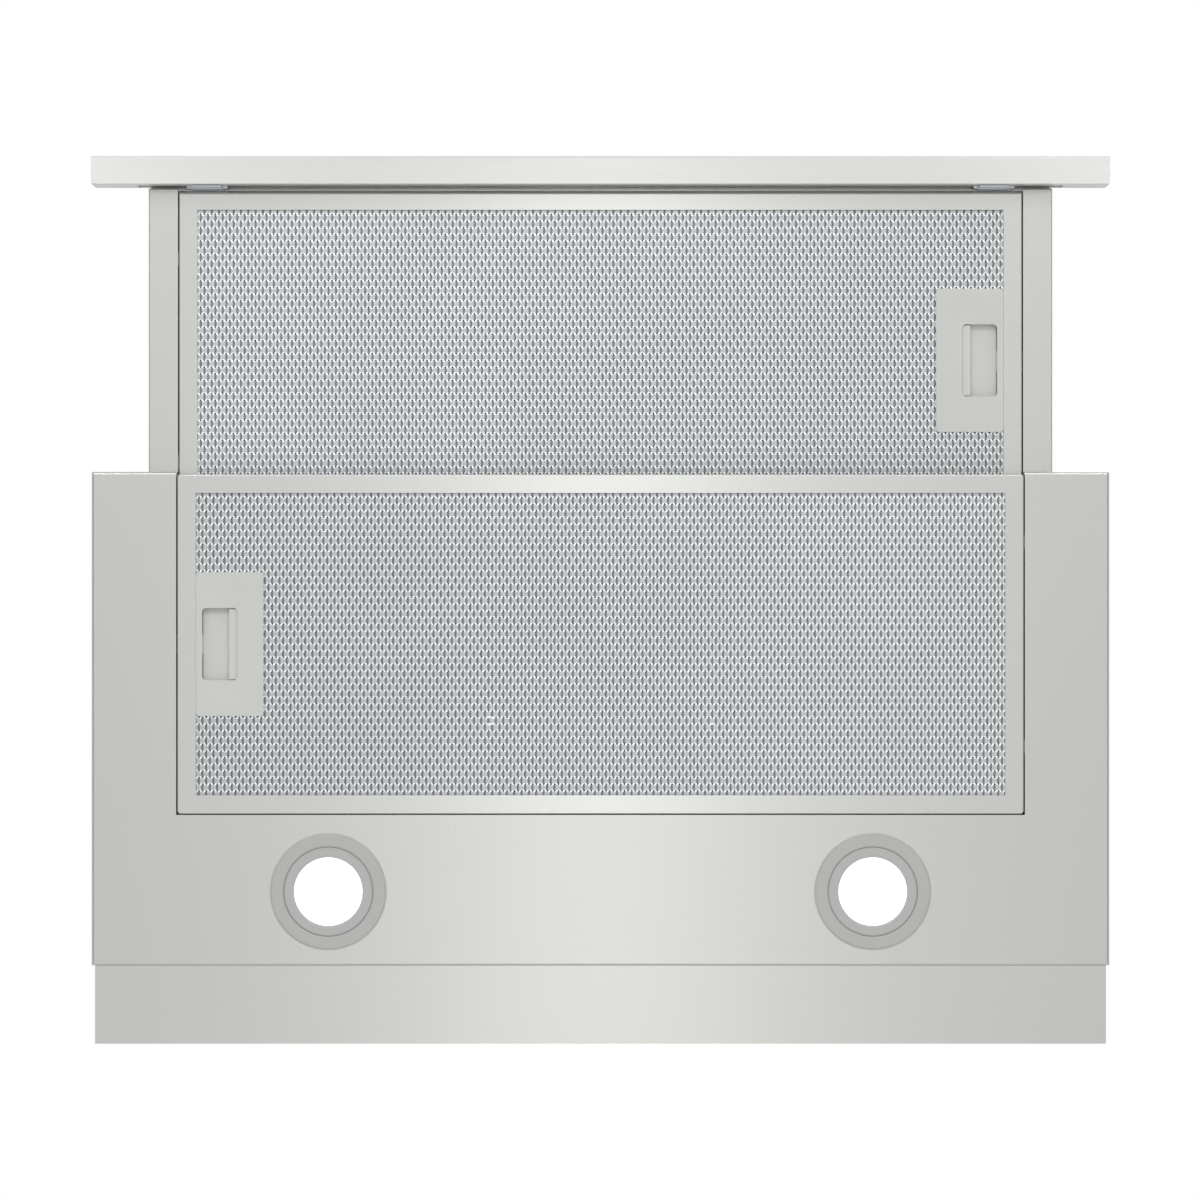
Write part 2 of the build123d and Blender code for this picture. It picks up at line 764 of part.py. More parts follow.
for centre, name in zip(lamp_centres, ("left", "right")):
    with BuildPart() as lamp_ring:
        lamp_piece(centre, ring_outline)
    lamp_ring.part.label = f"{name}_lamp_ring"
    export_step(lamp_ring.part, f"parts/{name}_lamp_ring.step")

    with BuildPart() as lamp_bezel:
        lamp_piece(centre, bezel_outline)
    lamp_bezel.part.label = f"{name}_lamp_bezel"
    export_step(lamp_bezel.part, f"parts/{name}_lamp_bezel.step")

    with BuildPart() as lamp_lens:
        rod(Plane.XY.offset(tray_bottom - 0.5), lamp_lens_radius, ledge_height + 0.5, [centre])
        chamfer(lamp_lens.edges().filter_by(GeomType.CIRCLE).sort_by(Axis.Z)[0], length=0.4)
    lamp_lens.part.label = f"{name}_lamp_lens"
    export_step(lamp_lens.part, f"parts/{name}_lamp_lens.step")

    with BuildPart() as lamp_can:
        lamp_piece(centre, can_outline)
        for n in range(-2, 3):
            block(
                (centre[0] + n * 7 - 1, centre[0] + n * 7 + 1),
                (centre[1] - 16, centre[1] + 16),
                (tray_bottom + can_top, tray_bottom + can_top + fin_height),
            )
    lamp_can.part.label = f"{name}_lamp_can"
    export_step(lamp_can.part, f"parts/{name}_lamp_can.step")

# Rear filler strip, screwed to the tray's rear wall
filler_bottom = tray_bottom + 1.0
filler_width = body_width - 2 * filler_side_inset
with BuildPart() as filler_strip:
    block(
        (-filler_width / 2, filler_width / 2),
        (rear_y, rear_y + sheet),
        (filler_bottom, filler_bottom + filler_flange),
    )
    block(
        (-filler_width / 2, filler_width / 2),
        (rear_y, rear_y + filler_depth),
        (filler_bottom, filler_bottom + sheet),
    )
    block(
        (-filler_width / 2, filler_width / 2),
        (rear_y + filler_depth - sheet, rear_y + filler_depth),
        (filler_bottom, filler_bottom + 6),
    )
    rod(
        Plane.XZ.offset(-rear_y - 2 * sheet),
        screw_radius + fit,
        3 * sheet,
        [(x, filler_screw_z) for x in filler_screw_x],
        Mode.SUBTRACT,
    )
filler_strip.part.label = "filler_strip"
export_step(filler_strip.part, "parts/filler_strip.step")

with BuildPart() as body_screws:
    for radius, reach in ((screw_head_radius, screw_head), (screw_radius, -screw_length)):
        with BuildSketch(outlet_frame):
            with PolarLocations(collar_screw_pitch, collar_screws, start_angle=45):
                Circle(radius)
        extrude(amount=reach)
    filler_screws = [(x, filler_screw_z) for x in filler_screw_x]
    rod(Plane.XZ.offset(-rear_y - sheet - screw_head), screw_head_radius, screw_head, filler_screws)
    rod(Plane.XZ.offset(-rear_y - sheet), screw_radius, screw_length, filler_screws)
    chamfer(
        body_screws.edges().filter_by(GeomType.CIRCLE).group_by(Axis.Z)[-1],
        length=0.6,
    )
body_screws.part.label = "body_screws"
export_step(body_screws.part, "parts/body_screws.step")

# Grease filters: frame, mesh pack, handle housing, latch and latch spring, in each filter's own
# frame, whose origin is the middle of its underside and whose handle is on its -x side
half_depth = filter_depth / 2
filter_top = filter_thickness
border_inner = half_filter - filter_border
handle_start = -border_inner + 0.1
handle_end = handle_start + handle_length
cavity_x = (handle_start + handle_side, handle_end - handle_side)
cavity_z = (handle_face, handle_top - filter_wall)
recess_x = (handle_start + recess_inset, handle_start + recess_inset + recess_length)
cavity_half = recess_width / 2 + 1.3
tab_x = (recess_x[1] - 4.9, recess_x[1] - 4.9 + tab_length)
tongue_tip = -half_filter - latch_travel - 0.1
latch_end = cavity_x[1] - latch_travel - 1.1
spring_radius = 1.3
spring_wire = 0.25
spring_turns = 6
spring_z = (handle_face + latch_bottom) / 2

# What the wider bend takes off the drawer filter's front edge, behind the front bar
nose_y = drawer_filter_front + filter_nose
nose_z = drawer_bottom + filter_nose
with BuildPart() as nose_off_cut:
    block((-half_body, half_body), (drawer_filter_front - 1, nose_y), (drawer_bottom - 1, nose_z))
    rod(Plane.YZ.offset(-half_body - 1), filter_nose, body_width + 2, [(nose_y, nose_z)], Mode.SUBTRACT)


def filter_frame_piece(frame):
    """The filter's folded edge: a channel all round that holds the mesh pack, with two hooks."""
    with BuildPart() as piece:
        block((-half_filter, half_filter), (-half_depth, half_depth), (0, filter_top), frame=frame)
        fillet(piece.edges().filter_by(Axis.Z), radius=filter_corner)
        fillet(piece.edges().group_by(Axis.Z)[0], radius=filter_bend)
        if frame is drawer_filter_frame:
            add(nose_off_cut.part, mode=Mode.SUBTRACT)
        block(
            (-half_filter + filter_wall, half_filter - filter_wall),
            (-half_depth + filter_wall, half_depth - filter_wall),
            (filter_wall, filter_top - filter_wall),
            Mode.SUBTRACT,
            frame,
        )
        block(
            (-border_inner, border_inner),
            (-half_depth + filter_border, half_depth - filter_border),
            (-1, filter_top + 1),
            Mode.SUBTRACT,
            frame,
        )
        block(
            (-half_filter - 1, -half_filter + 2 * filter_wall),
            (-tongue_width / 2 - slip, tongue_width / 2 + slip),
            (tongue_lift - slip, tongue_lift + tongue_height + slip),
            Mode.SUBTRACT,
            frame,
        )
        for y in hook_y:
            block(
                (half_filter - filter_wall, half_filter + hook_length),
                (y - hook_width / 2, y + hook_width / 2),
                (hook_lift, hook_lift + hook_height),
                frame=frame,
            )
    return piece


def filter_mesh_piece(frame):
    """The mesh layers between the frame's lips, joined at their rim, with a cut-out for the handle."""
    pack_x = half_filter - filter_wall - fit
    pack_y = half_depth - filter_wall - fit
    pack_z = (filter_wall, filter_top - filter_wall)
    layer_pitch = (pack_z[1] - pack_z[0] - mesh_sheet) / (mesh_layers - 1)
    with BuildPart() as piece:
        block((-pack_x, pack_x), (-pack_y, pack_y), pack_z, frame=frame)
        for layer in range(mesh_layers - 1):
            layer_z = pack_z[0] + layer * layer_pitch
            block(
                (-pack_x + mesh_sheet, pack_x - mesh_sheet),
                (-pack_y + mesh_sheet, pack_y - mesh_sheet),
                (layer_z + mesh_sheet, layer_z + layer_pitch),
                Mode.SUBTRACT,
                frame,
            )
        block(
            (-half_filter, handle_end + fit),
            (-handle_width / 2 - fit, handle_width / 2 + fit),
            (0, filter_top),
            Mode.SUBTRACT,
            frame,
        )
    return piece


def filter_handle_piece(frame):
    """The handle housing: a face with a finger recess over the cavity in which the latch slides."""
    with BuildPart() as piece:
        block((handle_start, handle_end), (-handle_width / 2, handle_width / 2), (0, handle_top), frame=frame)
        fillet(piece.edges().filter_by(Axis.Z), radius=2)
        block(cavity_x, (-cavity_half, cavity_half), cavity_z, Mode.SUBTRACT, frame)
        with BuildSketch(frame.offset(-1)) as recess:
            with Locations(((recess_x[0] + recess_x[1]) / 2, 0)):
                RectangleRounded(recess_length, recess_width, 2.4)
        extrude(recess.sketch, amount=handle_face + 1.5, mode=Mode.SUBTRACT)
        block(
            (handle_start - 1, cavity_x[0] + 1),
            (-tongue_width / 2 - slip, tongue_width / 2 + slip),
            (tongue_lift - slip, tongue_lift + tongue_height + slip),
            Mode.SUBTRACT,
            frame,
        )
    return piece


def filter_latch_piece(frame):
    """The latch: a sliding plate, the finger tab in the recess and the tongue that locks the filter."""
    with BuildPart() as piece:
        block(
            (cavity_x[0] + 2.4, latch_end),
            (-cavity_half + 0.4, cavity_half - 0.4),
            (latch_bottom, latch_top),
            frame=frame,
        )
        block(
            tab_x,
            (-recess_width / 2 + 0.5, recess_width / 2 - 0.5),
            (handle_face + slip, latch_bottom),
            frame=frame,
        )
        block(
            (tongue_tip, cavity_x[0] + 3),
            (-tongue_width / 2, tongue_width / 2),
            (tongue_lift, tongue_lift + tongue_height),
            frame=frame,
        )
        tip_edges = piece.edges().filter_by(Axis.Y)
        far_edges = tip_edges.sort_by(Axis.X, reverse=frame.x_dir.X < 0)[:2]
        chamfer(far_edges.sort_by(Axis.Z)[-1], length=1.4)
    return piece


def latch_spring_piece(frame):
    """The coil spring that pushes the latch's tab outwards."""
    start = tab_x[1] + fit + 2 * spring_wire
    length = cavity_x[1] - fit - 2 * spring_wire - start
    seat = frame.from_local_coords((start, 0, spring_z))
    with BuildPart() as piece:
        with BuildLine():
            coil = Helix(
                pitch=length / spring_turns,
                height=length,
                radius=spring_radius,
                center=seat,
                direction=frame.x_dir,
            )
        with BuildSketch(Plane(origin=coil @ 0, z_dir=coil % 0)):
            Circle(spring_wire)
        sweep(path=coil)
    return piece


filter_pieces = {
    "frame": filter_frame_piece,
    "mesh": filter_mesh_piece,
    "handle": filter_handle_piece,
    "latch": filter_latch_piece,
    "spring": latch_spring_piece,
}
for place, frame in (("body", body_filter_frame), ("drawer", drawer_filter_frame)):
    for name, make in filter_pieces.items():
        filter_piece = make(frame)
        filter_piece.part.label = f"{place}_filter_{name}"
        export_step(filter_piece.part, f"parts/{place}_filter_{name}.step")

# Filter drawer: an open frame of folded sheet under a flat roof
roof_bottom = drawer_top - sheet
drawer_edge_rear = drawer_filter_rear + filter_gap + sheet
clip_screw_radius = 1.5
clip_screw_head_radius = 2.6
clip_screw_z = drawer_bottom + filter_thickness + clip_screw_head_radius + 3 * slip
clip_offset = opening_half - clip_inset
clip_centres = [-clip_offset, clip_offset]
clip_screws = [(x + dx, clip_screw_z) for x in clip_centres for dx in (-6.0, 6.0)]
with BuildPart() as drawer_frame:
    for side in (-1, 1):
        rail_x = mirrored(side, opening_half, half_drawer)
        block(rail_x, (drawer_front, drawer_rear), (drawer_bottom, drawer_bottom + sheet))
        block(
            mirrored(side, half_drawer - sheet, half_drawer),
            (drawer_front, drawer_rear),
            (drawer_bottom, drawer_bottom + rail_lip),
        )
        block(
            mirrored(side, opening_half, opening_half + sheet),
            (drawer_front, drawer_rear),
            (drawer_bottom, roof_bottom),
        )
        block(rail_x, (drawer_front, drawer_front + sheet), (drawer_bottom, roof_bottom))
    block(
        (-opening_half, opening_half),
        (drawer_edge_rear - sheet, drawer_edge_rear),
        (drawer_bottom, drawer_bottom + edge_height),
    )
    block(
        (-opening_half, opening_half),
        (drawer_front, drawer_front + sheet),
        (drawer_bottom + filter_thickness, roof_bottom),
    )
    underside = drawer_frame.edges().group_by(Axis.Z)[0]
    rail_sides = underside.filter_by(lambda edge: abs(edge.center().X) > half_drawer - fit)
    rail_fronts = underside.filter_by(Axis.X).filter_by(lambda edge: edge.center().Y < drawer_front + fit)
    fillet(rail_sides + rail_fronts, radius=0.8)
    filter_catches(drawer_filter_frame)
    rod(
        Plane.XZ.offset(-drawer_front - 2 * sheet),
        clip_screw_radius + fit,
        4 * sheet,
        clip_screws,
        Mode.SUBTRACT,
    )
drawer_frame.part.label = "drawer_frame"
export_step(drawer_frame.part, "parts/drawer_frame.step")

with BuildPart() as drawer_roof:
    block((-half_drawer, half_drawer), (bar_rear, drawer_edge_rear), (roof_bottom, drawer_top))
drawer_roof.part.label = "drawer_roof"
export_step(drawer_roof.part, "parts/drawer_roof.step")

# Front bar: a folded stainless channel, open to the rear and closed there by a core plate
panel_z = (bar_bottom + bar_top) / 2
panel_x = (half_body - panel_inset - panel_width, half_body - panel_inset)
core_front = bar_rear - sheet - fit - core_thickness
core_rear = core_front + core_thickness
back_opening = half_body - bar_back_end
with BuildPart() as front_bar:
    block((-half_body, half_body), (bar_front, bar_rear), (bar_bottom, bar_top))
    fillet(front_bar.edges().filter_by(Axis.X).group_by(Axis.Y)[0], radius=1.2)
    block(
        (-half_body + sheet, half_body - sheet),
        (bar_front + sheet, bar_rear - sheet),
        (bar_bottom + sheet, bar_top - sheet),
        Mode.SUBTRACT,
    )
    block(
        (-back_opening, back_opening),
        (bar_rear - 2 * sheet, bar_rear + sheet),
        (bar_bottom + bar_back_height, bar_top - bar_lip),
        Mode.SUBTRACT,
    )
    block(
        panel_x,
        (bar_front - sheet, bar_front + 2 * sheet),
        (panel_z - panel_height / 2, panel_z + panel_height / 2),
        Mode.SUBTRACT,
    )
front_bar.part.label = "front_bar"
export_step(front_bar.part, "parts/front_bar.step")

with BuildPart() as bar_core:
    block(
        (-half_body + sheet + fit, half_body - sheet - fit),
        (core_front, core_rear),
        (bar_bottom + sheet + fit, bar_top - sheet - fit),
    )
    rod(
        Plane.XZ.offset(-core_rear - 1),
        clip_screw_radius + fit,
        core_thickness + 2,
        clip_screws,
        Mode.SUBTRACT,
    )
bar_core.part.label = "bar_core"
export_step(bar_core.part, "parts/bar_core.step")

clip_z = (bar_bottom + bar_back_height + slip, bar_top - bar_lip - slip)
clip_front = bar_rear + slip
tab_bottom = clip_z[0] - clip_tab_drop
nose_bottom = clip_z[0] - clip_pocket_drop


def clip_nose(clip_x, wall, z, mode):
    """The clip's nose behind the bar, which tapers to the rear, less a wall, in the part being built."""
    front_half = clip_pocket_width / 2
    rear_half = front_half - clip_pocket_taper
    rear = drawer_front + clip_pocket_reach
    with BuildSketch(Plane.XY.offset(z[0])) as outline:
        with BuildLine():
            Polyline(
                (clip_x - front_half, clip_front),
                (clip_x + front_half, clip_front),
                (clip_x + rear_half, rear),
                (clip_x - rear_half, rear),
                close=True,
            )
        make_face()
        if wall:
            offset(amount=-wall, kind=Kind.INTERSECTION, mode=Mode.REPLACE)
    extrude(outline.sketch, amount=z[1] - z[0], mode=mode)


for clip_x, name in zip(clip_centres, ("left", "right")):
    tab_limits = (clip_x - clip_tab_width / 2, clip_x + clip_tab_width / 2)
    with BuildPart() as bar_clip:
        block((clip_x - clip_width / 2, clip_x + clip_width / 2), (core_rear, drawer_front), clip_z)
        clip_nose(clip_x, 0, (nose_bottom, clip_z[0] + sheet), Mode.ADD)
        clip_nose(clip_x, clip_pocket_wall, (nose_bottom - sheet, clip_z[0]), Mode.SUBTRACT)
        block(tab_limits, (clip_front, clip_front + clip_tab_thickness), (tab_bottom, clip_z[0] + sheet))
        rod(
            Plane.XZ.offset(-drawer_front - 1),
            clip_screw_radius + fit,
            drawer_front - core_rear + 2,
            clip_screws,
            Mode.SUBTRACT,
        )
    bar_clip.part.label = f"{name}_bar_clip"
    export_step(bar_clip.part, f"parts/{name}_bar_clip.step")

clip_screw_head = 1.6
with BuildPart() as drawer_screws:
    head_plane = Plane.XZ.offset(-drawer_front - sheet - clip_screw_head)
    rod(head_plane, clip_screw_head_radius, clip_screw_head, clip_screws)
    shank_length = drawer_front + sheet - core_front
    rod(Plane.XZ.offset(-drawer_front - sheet), clip_screw_radius, shank_length, clip_screws)
drawer_screws.part.label = "drawer_screws"
export_step(drawer_screws.part, "parts/drawer_screws.step")

# Switch panel in the bar's front face: a sunk bezel with two slots, a slider in each, and the
# switch block behind it
bezel_front = bar_front + slip
bezel_back = bezel_front + panel_depth
bezel_floor = 1.5
bezel_rim = 1.2
knob_front = bezel_front + 0.5
stem_back = bezel_back + 1.9
block_front = stem_back + slip
switches = {
    "light": (panel_x[0] + 13.0, light_travel),
    "fan": (panel_x[0] + 49.0, fan_travel),
}
bezel_x = (panel_x[0] + fit, panel_x[1] - fit)
bezel_z = (panel_z - panel_height / 2 + fit, panel_z + panel_height / 2 - fit)
with BuildPart() as switch_bezel:
    block(bezel_x, (bezel_front, bezel_back), bezel_z)
    block(
        (bezel_x[0] + bezel_rim, bezel_x[1] - bezel_rim),
        (bezel_front - 1, bezel_back - bezel_floor),
        (bezel_z[0] + bezel_rim, bezel_z[1] - bezel_rim),
        Mode.SUBTRACT,
    )
    for knob_start, travel in switches.values():
        stem_start = knob_start + (knob_width - stem_width) / 2
        block(
            (stem_start - slip, stem_start + stem_width + travel + slip),
            (bezel_back - 2 * bezel_floor, bezel_back + 1),
            (panel_z - stem_height / 2 - slip, panel_z + stem_height / 2 + slip),
            Mode.SUBTRACT,
        )
switch_bezel.part.label = "switch_bezel"
export_step(switch_bezel.part, "parts/switch_bezel.step")

for name, (knob_start, travel) in switches.items():
    with BuildPart() as slider:
        block(
            (knob_start, knob_start + knob_width),
            (knob_front, bezel_back - bezel_floor - slip),
            (panel_z - knob_height / 2, panel_z + knob_height / 2),
        )
        fillet(slider.edges().filter_by(Axis.Y), radius=1)
        stem_start = knob_start + (knob_width - stem_width) / 2
        block(
            (stem_start, stem_start + stem_width),
            (bezel_back - bezel_floor - slip, stem_back),
            (panel_z - stem_height / 2, panel_z + stem_height / 2),
        )
        for n in (-1, 0, 1):
            middle = knob_start + knob_width / 2 + 3 * n
            block(
                (middle - 0.5, middle + 0.5),
                (knob_front - 1, knob_front + 0.5),
                (panel_z - knob_height / 2 - 1, panel_z + knob_height / 2 + 1),
                Mode.SUBTRACT,
            )
    slider.part.label = f"{name}_slider"
    export_step(slider.part, f"parts/{name}_slider.step")

post_width = 4.0
with BuildPart() as switch_block:
    block(
        (bezel_x[0] + 2, bezel_x[1] - 2),
        (block_front, core_front - fit),
        (panel_z - 7, panel_z + 7),
    )
    for post_x in (bezel_x[0] + 2, bezel_x[1] - 2 - post_width):
        block((post_x, post_x + post_width), (bezel_back, block_front), (panel_z - 7, panel_z + 7))
switch_block.part.label = "switch_block"
export_step(switch_block.part, "parts/switch_block.step")

# Ball runners: outer member on the tray's bosses, inner member on the rail's inner wall, and a
# ball cage that runs at half the drawer's speed between them
outer_half = runner_height / 2
race_gap = ball_diameter + 2 * 0.1
inner_half = outer_half - sheet - race_gap
race_z = inner_half + race_gap / 2
ball_x = runner_start + 5.6
inner_flange_end = ball_x + 1.1
cage_web_x = ball_x + 2.7
outer_flange_start = ball_x - 1.5
inner_rear = drawer_rear - 2.0
inner_front = drawer_front + runner_inner_inset
cage_front = runner_front + 2.0
cage_rear = inner_rear - 2.0
ball_pitch = (cage_rear - cage_front) / ball_count
ball_ys = [cage_front + ball_pitch * (n + 0.5) for n in range(ball_count)]
for side, name in ((-1, "left"), (1, "right")):
    with BuildPart() as runner_outer:
        block(
            mirrored(side, runner_end - sheet, runner_end),
            (runner_front, runner_rear),
            (runner_z - outer_half, runner_z + outer_half),
        )
        for level in (runner_z - outer_half, runner_z + outer_half - sheet):
            block(
                mirrored(side, outer_flange_start, runner_end - sheet),
                (runner_front, runner_rear),
                (level, level + sheet),
            )
    runner_outer.part.label = f"{name}_runner_outer"
    export_step(runner_outer.part, f"parts/{name}_runner_outer.step")

    with BuildPart() as runner_inner:
        block(
            mirrored(side, runner_start, runner_start + sheet),
            (inner_front, inner_rear),
            (runner_z - inner_half, runner_z + inner_half),
        )
        for level in (runner_z - inner_half, runner_z + inner_half - sheet):
            block(
                mirrored(side, runner_start + sheet, inner_flange_end),
                (inner_front, inner_rear),
                (level, level + sheet),
            )
    runner_inner.part.label = f"{name}_runner_inner"
    export_step(runner_inner.part, f"parts/{name}_runner_inner.step")

    with BuildPart() as ball_cage:
        block(
            mirrored(side, cage_web_x, cage_web_x + cage_sheet),
            (cage_front, cage_rear),
            (runner_z - race_z - cage_sheet / 2, runner_z + race_z + cage_sheet / 2),
        )
        for level in (runner_z - race_z, runner_z + race_z):
            block(
                mirrored(side, ball_x - 1.3, cage_web_x),
                (cage_front, cage_rear),
                (level - cage_sheet / 2, level + cage_sheet / 2),
            )
            rod(
                Plane.XY.offset(level - cage_sheet),
                ball_diameter / 2 + 0.1,
                2 * cage_sheet,
                [(side * ball_x, y) for y in ball_ys],
                Mode.SUBTRACT,
            )
            with Locations(*[(side * ball_x, y, level) for y in ball_ys]):
                Sphere(ball_diameter / 2)
    ball_cage.part.label = f"{name}_ball_cage"
    export_step(ball_cage.part, f"parts/{name}_ball_cage.step")

# Drawer sensor on the tray's rear wall and its magnet on the right rail's rear end
magnet_x = (opening_half + 3.5, half_drawer - 3.5)
magnet_y = (drawer_rear - 6.0, drawer_rear + 2.0)
magnet_height = 3.0
sensor_air_gap = 4.0
with BuildPart() as sensor_magnet:
    block(magnet_x, magnet_y, (drawer_bottom + sheet, drawer_bottom + sheet + magnet_height))
sensor_magnet.part.label = "sensor_magnet"
export_step(sensor_magnet.part, "parts/sensor_magnet.step")

with BuildPart() as drawer_sensor:
    block(
        (magnet_x[0] - 2, magnet_x[1] + 2),
        (magnet_y[1] + drawer_travel + sensor_air_gap, rear_y - sheet),
        (drawer_bottom - 2, drawer_bottom + magnet_height + 5),
    )
    fillet(drawer_sensor.edges().filter_by(Axis.Y), radius=1.5)
drawer_sensor.part.label = "drawer_sensor"
export_step(drawer_sensor.part, "parts/drawer_sensor.step")
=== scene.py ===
"""Looks of a telescopic range hood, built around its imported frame.

Metres, +Z up, the front bar at -Y and the cabinet's underside at Z = 0. The photograph looks
straight up at the hood, with the front bar at the top of the picture and +X to the right.
"""

import logging
import math
from dataclasses import dataclass
from enum import Enum

import bmesh
import bpy
from mathutils import Matrix, Vector


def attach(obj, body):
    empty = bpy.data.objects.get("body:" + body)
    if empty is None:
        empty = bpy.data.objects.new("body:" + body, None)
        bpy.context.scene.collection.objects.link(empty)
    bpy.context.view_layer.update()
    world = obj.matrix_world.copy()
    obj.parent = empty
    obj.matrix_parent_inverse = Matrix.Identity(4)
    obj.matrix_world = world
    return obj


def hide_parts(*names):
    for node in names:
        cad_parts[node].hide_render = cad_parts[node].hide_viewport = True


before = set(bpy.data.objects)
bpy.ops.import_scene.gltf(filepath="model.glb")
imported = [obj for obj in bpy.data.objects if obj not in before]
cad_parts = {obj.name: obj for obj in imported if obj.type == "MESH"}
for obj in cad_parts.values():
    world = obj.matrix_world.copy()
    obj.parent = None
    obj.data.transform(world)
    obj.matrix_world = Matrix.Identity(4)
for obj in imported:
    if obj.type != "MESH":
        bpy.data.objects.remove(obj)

log = logging.getLogger("range_hood")
Triple = tuple[float, float, float]
Socket = bpy.types.NodeSocket
Input = float | int | bool | Triple | Socket | bpy.types.ID
Layers = tuple[Socket | None, Socket | None, Socket]
Shape = bmesh.types.BMesh
Corners = list[bmesh.types.BMVert]
MM = 0.001
WHITE = (1.0, 1.0, 1.0, 1.0)


class Along(Enum):
    """The direction in which a metal was brushed, rolled or drawn."""

    X = (1.0, 0.0, 0.0)
    Y = (0.0, 1.0, 0.0)


class Facing(Enum):
    """The direction in which a fastener's head points."""

    UP = (0.0, 0.0, 1.0)
    FRONT = (0.0, -1.0, 0.0)
    REAR = (0.0, 1.0, 0.0)


class Grain(Enum):
    """Random grains, each with its features per metre and its finer layers."""

    FLAKE = (1700.0, 1.0)
    SMUDGE = (9.0, 4.0)
    ORANGE_PEEL = (420.0, 2.0)
    BRUSH_LINE = (38.0, 5.0)
    BRUSH_BAND = (4.0, 2.0)
    ZINC_HAZE = (30.0, 4.0)
    ZINC_SKIN = (600.0, 2.0)
    SPARK = (1900.0, 2.0)
    CLOUD = (40.0, 3.0)
    STAIN = (45.0, 5.0)
    PEBBLE = (700.0, 3.0)
    PRESS_MARK = (2600.0, 3.0)
    PATCH = (14.0, 4.0)
    PAPER = (3.0, 5.0)
    FLAG_WEAVE = (5.0, 3.0)


class NodeSheet:
    """Adds nodes to one tree and joins them up."""

    def __init__(self, tree: bpy.types.NodeTree) -> None:
        """Takes the material, world or geometry node tree to fill."""
        self.tree = tree

    @classmethod
    def blank(cls, owner: bpy.types.Material | bpy.types.World) -> "NodeSheet":
        """Empties the nodes of a material or a world.

        Args:
            owner: The material or the world.

        Returns:
            Its nodes, ready to be filled.
        """
        owner.use_nodes = True
        owner.node_tree.nodes.clear()
        return cls(owner.node_tree)

    def node(
        self, kind: str, inputs: dict[str | int, Input] | None = None, **settings: object
    ) -> bpy.types.Node:
        """Adds a node.

        Args:
            kind: Blender's name for the node type.
            inputs: Values or sockets for its inputs, by name or number.
            **settings: The node's own properties.

        Returns:
            The new node.
        """
        made = self.tree.nodes.new(kind)
        for key, value in settings.items():
            setattr(made, key, value)
        for key, value in (inputs or {}).items():
            socket = made.inputs[key]
            if isinstance(value, Socket):
                self.tree.links.new(value, socket)
            else:
                socket.default_value = value
        return made

    def math(self, operation: str, first: Input, second: Input = 0.0) -> Socket:
        """One sum of two numbers or sockets, by the Math node's operation."""
        inputs = {0: first, 1: second}
        return self.node("ShaderNodeMath", inputs, operation=operation).outputs[0]

    def times(self, first: Input, second: Input) -> Socket:
        """One number times another."""
        return self.math("MULTIPLY", first, second)

    def plus(self, first: Input, second: Input) -> Socket:
        """One number plus another."""
        return self.math("ADD", first, second)

    def blend(self, first: Socket, second: Socket, share: float) -> Socket:
        """Two grains mixed into one, of which the first has its share, 0 to 1."""
        return self.plus(self.times(first, share), self.times(second, 1 - share))

    def place(self, scale: Triple = (1.0, 1.0, 1.0), centre: Triple = (0.0, 0.0, 0.0)) -> Socket:
        """Object coordinates, stretched about a centre.

        Args:
            scale: How much the pattern is squeezed along each axis.
            centre: The pattern's middle, in metres.

        Returns:
            The coordinates' socket.
        """
        start = self.node("ShaderNodeTexCoord").outputs["Object"]
        shift = tuple(-c * s for c, s in zip(centre, scale))
        inputs = {"Vector": start, "Scale": scale, "Location": shift}
        return self.node("ShaderNodeMapping", inputs).outputs[0]

    def noise(self, grain: Grain, where: Socket | None = None) -> Socket:
        """Soft random grain between 0 and 1.

        Args:
            grain: Which grain it is.
            where: The coordinates to read, or else plain Object coordinates.

        Returns:
            The grain's socket.
        """
        scale, detail = grain.value
        inputs = {"Vector": where or self.place(), "Scale": scale, "Detail": detail}
        return self.node("ShaderNodeTexNoise", inputs).outputs["Fac"]

    def around(self, value: Socket, middle: float, play: float) -> Socket:
        """Moves a 0 to 1 value about a new middle.

        Args:
            value: The value, of which the part from 0.3 to 0.7 counts.
            middle: What it becomes at 0.5.
            play: How far it goes to either side.

        Returns:
            The moved value's socket.
        """
        inputs = {"Value": value, "From Min": 0.3, "From Max": 0.7}
        inputs |= {"To Min": middle - play, "To Max": middle + play}
        return self.node("ShaderNodeMapRange", inputs).outputs["Result"]

    def tinted(self, colour: Triple, factor: Socket) -> Socket:
        """A linear colour made lighter and darker by a factor."""
        inputs = {0: colour, "Scale": factor}
        return self.node("ShaderNodeVectorMath", inputs, operation="SCALE").outputs[0]

    def relief(self, height: Socket, depth: float) -> Socket:
        """A surface normal from a height between 0 and 1, and the relief's depth in metres."""
        inputs = {"Height": height, "Distance": depth, "Strength": 1.0}
        return self.node("ShaderNodeBump", inputs).outputs["Normal"]

    def mirrored(self) -> Socket:
        """1 for what metal and glass show, and 0 for all else."""
        path = self.node("ShaderNodeLightPath").outputs
        return self.math("MAXIMUM", path["Is Glossy Ray"], path["Is Transmission Ray"])


